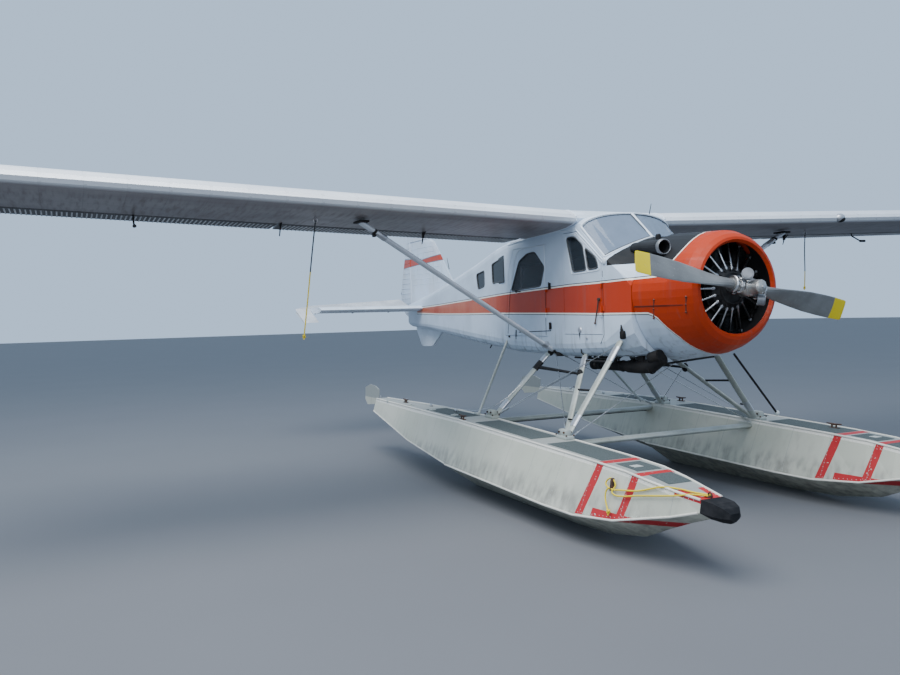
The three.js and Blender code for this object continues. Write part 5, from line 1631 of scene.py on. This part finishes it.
@dataclass
class Tail:
    """The tail's beads, hinges, lamps and stern fittings."""

    kit: Kit
    hinge: float = 8.440
    level: float = -0.040
    tail_hinge: float = 8.153
    chord: float = 1.150
    rest: float = math.radians(20)
    bead: float = 0.0075
    pitch: float = 0.094
    split: float = 0.62
    rudder_edge: tuple[tuple[float, float], ...] = (
        (-0.20, 8.56), (-0.13, 8.76), (0.03, 8.93), (0.25, 8.98), (0.50, 8.90), (0.75, 8.79),
        (1.02, 8.68), (1.27, 8.56), (1.40, 8.43))

    def upright(self) -> None:
        """Presses the level beads of the rudder and the fin."""
        rudder, fin = Shape(), Shape()
        for step in range(15):
            height = -0.12 + step * self.pitch
            edge = read_rows(self.rudder_edge, height)[0] - 0.022
            for side in (-1, 1):
                half = 0.030 - 0.023 * (edge - self.hinge) / 0.56
                start = at(self.hinge + 0.02, side * 0.0275, height)
                rudder.sweep([start, at(edge, side * (half - 0.003), height)], 0.0085, 6)
        for step in range(8):
            height = 0.40 + step * self.pitch
            lead = 6.620 + (height - 0.40)
            chord = self.hinge - 0.040 - lead
            for side in (-1, 1):
                fin.sweep([at(lead + share * chord, side * (half - 0.004), height)
                           for share, half in ((0.12, 0.023), (0.30, 0.036), (0.65, 0.034), (0.98, 0.028))],
                          self.bead, 6)
        rudder.done("rudder_beads", self.kit.fin_paint, Slot.CORRUGATED, "rudder")
        fin.done("fin_beads", self.kit.fin_paint, Slot.WHITE)

    def section(self, share: float, up: int) -> float:
        """Returns how far a bead lies from the tailplane's middle at a share of its chord, up or down."""
        return up * (self.chord * 5 * 0.09 * thickness(share) - 0.004)

    def elevator_point(self, share: float, y: float, up: int) -> Vector:
        """Returns a point of the elevator's skin, turned by the angle that it is built at.

        Args:
            share: How far along the whole tailplane's chord it lies.
            y: Its offset from the centre plane.
            up: 1 above and -1 below.

        Returns:
            The point.
        """
        outer = (abs(y) - 0.170) / 2.145
        along = (share - self.split) * self.chord * (0.540 - 0.280 * outer) / 0.437
        high = self.section(share, up)
        inward = math.copysign(0.300, y) * outer * (share - self.split) / 0.38
        sine, cosine = math.sin(self.rest), math.cos(self.rest)
        return at(self.tail_hinge + along * cosine - high * sine, y - inward,
                  self.level + along * sine + high * cosine)

    def level_beads(self) -> None:
        """Presses the chordwise beads of the tailplane and the elevator."""
        fixed, moving = Shape(), Shape()
        for side in (-1, 1):
            for step in range(25):
                y = side * (0.26 + step * 0.083)
                for up in (-1, 1):
                    if 0.34 < abs(y) < 2.03:
                        fixed.sweep([at(7.440 + share * self.chord, y, self.level + self.section(share, up))
                                     for share in (0.06, 0.2, 0.4, 0.565)], self.bead, 6)
                    path = [self.elevator_point(share, y, up) for share in (0.655, 0.8, 0.985)]
                    moving.sweep(path, self.bead, 6)
        fixed.done("tailplane_beads", self.kit.white, Slot.WHITE)
        moving.done("elevator_beads", self.kit.ribbed, Slot.CORRUGATED, "elevator")

    def fittings(self) -> None:
        """Adds hinge covers, cables, the stern ring, the rudder's horn arm and the tail lamp."""
        dark = Shape()
        for side in (-1, 1):
            for y in (0.62, 1.30, 1.98):
                dark.box(at(8.095, side * y, self.level - 0.045), (0.05, 0.022, 0.03), bevel=0.005)
            dark.rod(at(7.60, side * 0.190, -0.165), at(8.22, side * 0.060, -0.185), 0.003, 6)
        dark.ring(at(8.15, 0.0, -0.402), PORT, 0.024, 0.006, 24, 8)
        dark.rod(at(8.15, 0.0, -0.385), at(8.15, 0.0, -0.33), 0.009, 10)
        dark.done("tail_fittings", self.kit.sooty, Slot.METAL)
        horn = Shape().box(at(8.51, 0.0, -0.125), (0.024, 0.15, 0.014), bevel=0.004)
        horn.done("rudder_horn_arm", self.kit.silver, Slot.METAL, "rudder")
        # The lamp's glass is the windscreen's, with its painted sky reflection colour.
        lamp = Shape().ball(at(8.965, 0.0, 0.27), (0.030, 0.016, 0.028), 16)
        lamp.done("tail_lamp", self.kit.screen, Slot.GLASS, "rudder")

    def build(self) -> None:
        """Makes every piece of the tail."""
        self.upright()
        self.level_beads()
        self.fittings()


@dataclass
class Floats:
    """The floats' deck, seams, fittings and rigging, made alike on both sides."""

    kit: Kit
    rows: tuple[tuple[float, ...], ...] = (
        (-1.110, 0.104, -1.658, 0.120, -1.755, -1.815), (-0.860, 0.150, -1.628, 0.205, -1.830, -1.905),
        (-0.600, 0.184, -1.590, 0.275, -1.890, -2.010), (-0.300, 0.200, -1.552, 0.350, -1.960, -2.140),
        (0.200, 0.215, -1.525, 0.425, -2.005, -2.225), (0.700, 0.218, -1.507, 0.440, -2.005, -2.250),
        (2.930, 0.222, -1.440, 0.430, -1.965, -2.250), (2.950, 0.222, -1.440, 0.426, -1.958, -2.165),
        (4.300, 0.200, -1.432, 0.350, -1.850, -1.985), (6.200, 0.090, -1.450, 0.150, -1.640, -1.700))

    rivet_rows: tuple[float, ...] = tuple(-1.04 + step * 0.0455 for step in range(158))

    def row(self, aft: float) -> tuple[float, ...]:
        """Returns the deck's half width and height, the chine's, and the keel's height."""
        return read_rows(self.rows, aft)

    def stations(self, start: float, end: float) -> list[float]:
        """Returns the distances aft where a strip along a float needs a section."""
        return [start, *(row[0] for row in self.rows if start < row[0] < end), end]

    def flank(self, side: float, aft: float, share: float, outer: float) -> Vector:
        """Returns a point of a float's flank, by its share from the deck's edge to the chine."""
        half, deck, wide, chine, _ = self.row(aft)
        offset = outer * (half + (wide - half) * share)
        return at(aft, side * (FLOAT_Y + offset), deck + (chine - deck) * share)

    def patches(self) -> None:
        """Lays the dark non-skid panels on the decks."""
        panels = [(0.105, 1.03, -0.17, 0.16), (-0.35, -0.046, -0.14, 0.12), (-0.72, -0.46, -0.15, 0.09),
                  (1.34, 2.62, -0.16, 0.16), (3.10, 4.10, -0.15, 0.15)]
        shape = Shape()
        for side in SIDES.values():
            for start, end, inner, outer in panels:
                corners = ((inner, -0.002), (inner, 0.0035), (outer, 0.0035), (outer, -0.002))
                shape.loft([[at(aft, side * (FLOAT_Y + offset), self.row(aft)[1] + lift)
                             for offset, lift in corners] for aft in self.stations(start, end)])
        shape.done("deck_nonskid", self.kit.nonskid, Slot.RUBBER)
        light = Shape()
        for side in SIDES.values():
            light.box(at(-0.20, side * (FLOAT_Y + 0.02), self.row(-0.20)[1] + 0.0036), (0.10, 0.09, 0.004))
        light.done("deck_marks", self.kit.float_trim, Slot.FLOAT)

    def edges(self) -> None:
        """Runs the rims along the decks' edges and the chines."""
        for label, side in SIDES.items():
            top, rim = Shape(), Shape()
            for outer in (-1.0, 1.0):
                for shape, share, start, end, radius in ((top, 0.012, -1.10, 6.18, 0.011),
                                                         (rim, 0.992, -1.09, 2.93, 0.010),
                                                         (rim, 0.992, 2.96, 6.18, 0.008)):
                    path = [self.flank(side, aft, share, outer) for aft in self.stations(start, end)]
                    shape.sweep(path, radius, 8)
            top.done(f"gunwale_{label}", self.kit.cream, Slot.FLOAT)
            rim.done(f"chine_rim_{label}", self.kit.cream, Slot.FLOAT)

    def rivets(self) -> None:
        """Sets the rivet rows of the flanks and decks."""
        for label, side in SIDES.items():
            heads = Shape()
            for outer in (-1.0, 1.0):
                out = Vector((0, side * outer, 0.3)).normalized()
                for share in (0.075, 0.15, 0.93):
                    for aft in self.rivet_rows:
                        heads.rivet(self.flank(side, aft, share, outer), out, 0.0042)
                for frame in range(15):
                    for step in range(9):
                        foot = self.flank(side, -0.86 + frame * 0.49, 0.2 + step * 0.085, outer)
                        heads.rivet(foot, out, 0.0042)
                for aft in self.rivet_rows:
                    half, deck = self.row(aft)[:2]
                    heads.rivet(at(aft, side * (FLOAT_Y + outer * (half - 0.02)), deck), UP, 0.004)
            heads.done(f"float_rivets_{label}", self.kit.float_trim, Slot.FLOAT)

    def fittings(self) -> None:
        """Adds cleats, round deck caps, bow eyes, strut feet and the bow line's cleat on the side."""
        dark, bright = Shape(), Shape()
        for side in SIDES.values():
            for aft, offset in ((0.34, 0.073), (2.92, 0.18), (5.2, 0.0)):
                if side > 0 or aft > 1.0:
                    self.cleat(dark, at(aft, side * (FLOAT_Y + offset), self.row(aft)[1]))
            for aft in (3.32, 4.0, 4.75, 5.6):
                spot = at(aft, side * (FLOAT_Y + 0.10), self.row(aft)[1])
                bright.rod(spot - UP * 0.004, spot + UP * 0.009, 0.052, 28, 0.048)
                bright.rod(spot + UP * 0.008, spot + UP * 0.018, 0.013, 12)
            dark.ring(at(-1.090, side * FLOAT_Y, -1.636), PORT, 0.020, 0.006, 24, 8)
            dark.box(at(-1.060, side * FLOAT_Y, -1.650), (0.07, 0.05, 0.016), bevel=0.004)
            for aft, y, height in ((1.205, 1.317, -1.478), (2.861, 1.290, -1.428)):
                spot = at(aft, side * y, height)
                bright.box(spot, (0.20, 0.11, 0.04), bevel=0.012)
                bright.box(spot + UP * 0.045, (0.15, 0.075, 0.08), bevel=0.02)
                for step in (-0.045, 0.045):
                    bolt = spot + Vector((step, 0, 0.055))
                    dark.rod(bolt - PORT * 0.050, bolt + PORT * 0.050, 0.011, 6)
                for along in (-0.095, 0.095):
                    for across in (-0.045, 0.045):
                        bolt = spot + Vector((along, across, 0))
                        dark.rod(bolt + UP * 0.02, bolt + UP * 0.034, 0.009, 6)
            bright.box(at(3.270, side * 1.285, -1.432), (0.10, 0.06, 0.025), bevel=0.012)
            dark.box(at(-0.205, side * 1.748, -1.675), (0.03, 0.028, 0.11), bevel=0.008)
            dark.rod(at(-0.205, side * 1.757, -1.622), at(-0.205, side * 1.772, -1.728), 0.012, 12)
        dark.done("float_cleats", self.kit.rust, Slot.BLACK)
        bright.done("float_fittings", self.kit.strut, Slot.METAL)

    @staticmethod
    def cleat(shape: Shape, foot: Vector) -> None:
        """Adds one horn cleat: a base, two posts and a tapered bar."""
        shape.box(foot + UP * 0.003, (0.13, 0.035, 0.010), bevel=0.003)
        for step in (-0.028, 0.028):
            shape.rod(foot + AHEAD * step, foot + AHEAD * step + UP * 0.038, 0.010, 10)
        for way in (-1, 1):
            shape.rod(foot + UP * 0.041, foot + AHEAD * 0.095 * way + UP * 0.049, 0.012, 10, 0.007)

    def rigging(self) -> None:
        """Strings the brace wires, the thin struts and the water rudder cables."""
        wires, bars, ends = Shape(), Shape(), Shape()
        for side in SIDES.values():
            top_front, top_back = at(1.225, side * 0.53, -0.52), at(2.62, side * 0.52, -0.62)
            foot_front, foot_back = at(1.25, side * 1.27, -1.46), at(2.83, side * 1.25, -1.41)
            for start, end in ((foot_front, top_back), (foot_back, top_front),
                               (at(1.257, side * 1.30, -1.54), at(1.30, -side * 0.45, -0.66)),
                               (at(3.00, side * 1.28, -1.49), at(2.70, -side * 0.42, -0.68))):
                wires.rod(start, end, 0.0045, 8)
                axis = (end - start).normalized()
                wires.rod(start + axis * 0.10, start + axis * 0.21, 0.011, 8)
                wires.rod(end - axis * 0.16, end - axis * 0.05, 0.011, 8)
            bars.rod(at(1.33, side * 1.19, -1.315), at(1.245, side * 1.17, -1.315), 0.010, 8)
            bars.rod(at(1.214, side * 0.955, -1.020), at(1.616, side * 0.884, -1.040), 0.012, 10)
            bars.rod(at(1.220, side * 0.727, -0.730), at(1.880, side * 0.605, -0.745), 0.011, 10)
            cable = [at(5.95, side * (FLOAT_Y - 0.04), -1.425), at(4.6, side * (FLOAT_Y - 0.06), -1.40),
                     at(3.10, side * (FLOAT_Y - 0.10), -1.37), at(2.80, side * 1.10, -1.20),
                     at(2.68, side * 0.66, -0.74)]
            wires.sweep(smooth_path(cable, 0.2), 0.0035, 6)
            for aft in (3.6, 4.4, 5.3):
                wires.box(at(aft, side * (FLOAT_Y - 0.055), -1.415), (0.04, 0.03, 0.035), bevel=0.006)
        bars.rod(at(0.70, 0.50, -0.683), at(0.889, 1.30, -1.390), 0.012, 12)
        bars.rod(at(1.10, -0.30, -0.790), at(1.215, 0.69, -0.735), 0.012, 10)
        bars.rod(at(3.115, -1.27, -1.545), at(3.115, 1.27, -1.545), 0.016, 12)
        ends.ball(at(0.889, 1.30, -1.390), (0.030, 0.030, 0.030), 16)
        for side in SIDES.values():
            for aft, height in ((1.257, -1.565), (3.044, -1.512)):
                foot = at(aft, side * 1.245, height)
                ends.rod(foot, foot + PORT * side * 0.030, 0.085, 28, 0.090, 0.55)
        wires.done("brace_wires", self.kit.steel, Slot.METAL)
        bars.done("thin_struts", self.kit.sooty, Slot.BLACK)
        ends.done("spreader_ends", self.kit.float_trim, Slot.FLOAT)

    def legs(self) -> None:
        """Sleeves the float struts at their heads and feet."""
        sleeves = Shape()
        for side in SIDES.values():
            for low, high, wide in (((1.205, 1.317, -1.51), (1.225, 0.530, -0.450), 0.053),
                                    ((1.205, 1.317, -1.51), (1.980, 0.500, -0.620), 0.045),
                                    ((2.861, 1.290, -1.46), (2.640, 0.520, -0.600), 0.053)):
                start, end = (at(a, side * y, h) for a, y, h in (low, high))
                axis = (end - start).normalized()
                sleeves.rod(end - axis * 0.34, end - axis * 0.16, wide, 24, wide, 0.5)
                if wide > 0.05:
                    sleeves.rod(start + axis * 0.17, start + axis * 0.30, wide, 24, wide, 0.5)
        sleeves.done("strut_sleeves", self.kit.silver, Slot.METAL)

    def build(self) -> None:
        """Makes every piece of the floats."""
        self.patches()
        self.edges()
        self.rivets()
        self.fittings()
        self.rigging()
        self.legs()


@dataclass
class Cabin:
    """The cushions, seat frames, yokes, levers, dials and glare shield."""

    kit: Kit

    def cushion(self, name: str, centre: Vector, size: Point, node: str) -> None:
        """Makes one crowned cushion that stands for a CAD seat's soft part.

        Args:
            name: The piece's name.
            centre: The cushion's centre.
            size: Its sizes.
            node: The CAD seat that it replaces.
        """
        piece = Shape().pillow(centre, size).done(name, self.kit.fabric, Slot.UPHOLSTERY)
        smoothing = piece.modifiers.new("crown", "SUBSURF")
        smoothing.levels = smoothing.render_levels = 1
        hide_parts(node)

    def seats(self) -> None:
        """Makes the two front seats and the bench."""
        for name, aft, y, half in (("pilot_seat", 2.08, 0.29, 0.22), ("copilot_seat", 2.08, -0.29, 0.22),
                                   ("cabin_bench", 3.15, 0.0, 0.54)):
            self.cushion(f"{name}_cushion", at(aft, y, -0.095), (0.46, 2 * half, 0.12), name)
            self.cushion(f"{name}_back", at(aft + 0.22, y, 0.17), (0.10, 2 * half, 0.58), name)
            frame = Shape()
            for side in (-1, 1):
                edge = y + side * (half - 0.03)
                rail = [at(aft + along, edge, height) for along, height in
                        ((-0.20, -0.17), (0.15, -0.17), (0.275, -0.05), (0.285, 0.42))]
                frame.sweep(smooth_path(rail, 0.05), 0.013, 10)
                for spot in (aft - 0.14, aft + 0.16):
                    frame.rod(at(spot, edge, -0.17), at(spot, edge, -0.448), 0.014, 12)
            top = at(aft + 0.285, y, 0.40)
            frame.rod(top - PORT * (half - 0.03), top + PORT * (half - 0.03), 0.013, 10)
            frame.box(at(aft, y, -0.165), (0.44, 2 * half - 0.05, 0.012), bevel=0.003)
            frame.done(f"{name}_frame", self.kit.silver, Slot.UPHOLSTERY)

    def controls(self) -> None:
        """Makes the yokes and the throttle levers."""
        yokes = Shape()
        for y in (0.29, -0.29):
            yokes.rod(at(1.475, y, 0.215), at(1.66, y, 0.205), 0.014, 12)
            arc = [at(1.665, y + 0.125 * math.sin(turn), 0.205 - 0.115 * math.cos(turn))
                   for turn in (math.radians(-130 + 20 * i) for i in range(14))]
            yokes.sweep(arc, 0.012, 10)
            yokes.rod(at(1.662, y - 0.115, 0.205), at(1.662, y + 0.115, 0.205), 0.012, 10)
            yokes.ball(at(1.662, y, 0.205), (0.022, 0.03, 0.03), 14)
        for y, height in ((-0.035, 0.46), (0.0, 0.475), (0.035, 0.465)):
            yokes.rod(at(1.44, y, 0.36), at(1.485, y, height), 0.006, 8)
            yokes.ball(at(1.485, y, height), (0.014, 0.014, 0.014), 10)
        yokes.done("yokes", self.kit.black, Slot.BLACK)

    def dials(self) -> None:
        """Makes the dials' bezels and faces on the panel, and the shield over them."""
        bezels, faces = Shape(), Shape()
        axis = (at(1.500, 0, 0.100) - at(1.470, 0, 0.360)).cross(PORT).normalized()
        axis = axis if axis.x < 0 else axis * -1
        for row, height in enumerate((0.300, 0.205)):
            for column in range(10):
                y = -0.45 + column * 0.1
                if row and abs(abs(y) - 0.29) < 0.06:
                    continue
                spot = at(1.500, y, 0.100).lerp(at(1.470, y, 0.360), (height - 0.1) / 0.26)
                bezels.ring(spot + axis * 0.004, axis, 0.037, 0.005, 24, 6)
                faces.rod(spot + axis * 0.0005, spot + axis * 0.004, 0.034, 20)
        bezels.done("dial_bezels", self.kit.silver, Slot.METAL)
        faces.done("dial_faces", self.kit.black, Slot.BLACK)
        section = ((1.395, 0.0), (1.395, 0.012), (1.545, 0.002), (1.545, -0.008))
        ridge = ((-0.52, 0.362), (-0.3, 0.385), (0.0, 0.392), (0.3, 0.385), (0.52, 0.362))
        shield = Shape().loft([[at(aft, y, height + lift) for aft, lift in section] for y, height in ridge])
        shield.done("glare_shield", self.kit.black, Slot.BLACK)

    def build(self) -> None:
        """Makes every piece of the cabin."""
        self.seats()
        self.controls()
        self.dials()


@dataclass
class Studio:
    """The floor, the lights and the camera."""

    lens: float = 33.18
    place: Point = (PROP_X + 6.0364, -5.9466, THRUST_Z - 0.2067)
    yaw: float = 2.7078
    pitch: float = -0.025
    roll: float = -0.0266

    def camera(self) -> bpy.types.Object:
        """Makes the camera at the photograph's place.

        Returns:
            The camera.
        """
        data = bpy.data.cameras.new("camera")
        data.lens, data.sensor_width = self.lens, 36.0
        data.clip_end = 500.0
        made = bpy.data.objects.new("camera", data)
        level = math.cos(self.pitch)
        ahead = Vector((math.cos(self.yaw) * level, math.sin(self.yaw) * level, math.sin(self.pitch)))
        right = Vector((math.sin(self.yaw), -math.cos(self.yaw), 0.0))
        up = right.cross(ahead)
        right, up = (math.cos(self.roll) * right + math.sin(self.roll) * up,
                     math.cos(self.roll) * up - math.sin(self.roll) * right)
        made.matrix_world = Matrix.Translation(self.place) @ Matrix(
            (right, up, -ahead)).transposed().to_4x4()
        bpy.context.scene.collection.objects.link(made)
        bpy.context.scene.camera = made
        return made

    def floor(self) -> None:
        """Makes the pale floor."""
        mesh = bmesh.new()
        bmesh.ops.create_grid(mesh, x_segments=1, y_segments=1, size=120.0)
        data = bpy.data.meshes.new("floor")
        mesh.to_mesh(data)
        mesh.free()
        graph = Graph("floor_grey")
        data.materials.append(graph.surface(
            Base_Color=graph.mix((0.125, 0.130, 0.140), (0.140, 0.145, 0.155), graph.noise(0.5, 2.0)),
            Roughness=0.7))
        made = bpy.data.objects.new("floor", data)
        made.location.z = -0.002
        bpy.context.scene.collection.objects.link(made)

    def lights(self) -> None:
        """Makes the soft sky light and two large soft lamps."""
        world = bpy.data.worlds.new("sky")
        world.use_nodes = True
        back = world.node_tree.nodes["Background"]
        back.inputs["Color"].default_value = (0.60, 0.80, 1.08, 1.0)
        back.inputs["Strength"].default_value = 0.95
        bpy.context.scene.world = world
        for name, place, target, size, power in (
            ("overhead", (4.0, -6.0, 14.0), (0.0, 0.0, 2.0), 14.0, 3300.0),
            ("front", (16.0, -9.0, 7.0), (2.0, 0.0, 2.0), 8.0, 450.0),
        ):
            lamp = bpy.data.lights.new(name, "AREA")
            lamp.shape, lamp.size, lamp.energy = "DISK", size, power
            made = bpy.data.objects.new(name, lamp)
            made.location = place
            made.rotation_mode = "QUATERNION"
            made.rotation_quaternion = (Vector(target) - Vector(place)).to_track_quat("-Z", "Y")
            bpy.context.scene.collection.objects.link(made)

    def build(self) -> None:
        """Makes everything but the camera."""
        self.floor()
        self.lights()


@dataclass
class Dressing:
    """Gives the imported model's own pieces their finishes."""

    kit: Kit
    nodes: dict[str, bpy.types.Object] = field(default_factory=dict)

    def plan(self) -> dict[str, bpy.types.Material]:
        """Returns the finish of each kind of piece, by the start of its name."""
        kit = self.kit
        return {
            "cabin_shell": kit.livery, "nose_deck": kit.deck, "rear_fuselage": kit.livery,
            "cockpit_door": kit.livery, "cabin_door": kit.livery, "cowl_ring": kit.livery,
            "fin": kit.fin_paint, "rudder": kit.fin_paint, "elevator": kit.ribbed, "tailplane": kit.white,
            "ventral_fin": kit.white, "wing_centre": kit.white, "wing_strut": kit.lift,
            "wing_rope": kit.rope, "wing": kit.wing, "flap": kit.flap, "aileron": kit.flap,
            "engine": kit.engine, "propeller_hub": kit.silver, "propeller_blade": kit.blade,
            "air_scoop": kit.black, "exhaust": kit.sooty, "float": kit.float, "bow": kit.rubber,
            "water_rudder_post": kit.silver, "water_rudder_blade": kit.float, "front_struts": kit.strut,
            "rear_strut": kit.strut, "access": kit.strut, "front_spreader": kit.strut,
            "rear_spreader": kit.strut, "pilot": kit.fabric, "copilot": kit.fabric,
            "cabin_bench": kit.fabric, "instrument": kit.black,
            "cockpit_window": kit.shaded_side_pane, "cabin_window": kit.shaded_side_pane, "rear_window": kit.shaded_rear_pane,
            "windscreen": kit.screen,
        }

    def build(self) -> None:
        """Assigns the finishes; the longest name that fits counts."""
        plan = self.plan()
        for name, node in self.nodes.items():
            starts = [start for start in plan if name.startswith(start)]
            node.data.materials.clear()
            node.data.materials.append(plan[max(starts, key=len)])
            LOG.info("dressed %s", name)


def main() -> None:
    """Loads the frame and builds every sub-assembly."""
    logging.basicConfig(level=logging.INFO, format="%(name)s: %(message)s")
    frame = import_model()
    studio = Studio()
    studio.camera()
    kit = Kit()
    studio.build()
    Dressing(kit, frame["nodes"]).build()
    for assembly in (Ropes, Nose, Propeller, Fuselage, Wings, Tail, Floats, Cabin):
        LOG.info("assembly %s", assembly.__name__)
        assembly(kit).build()


if __name__ == "__main__":
    main()
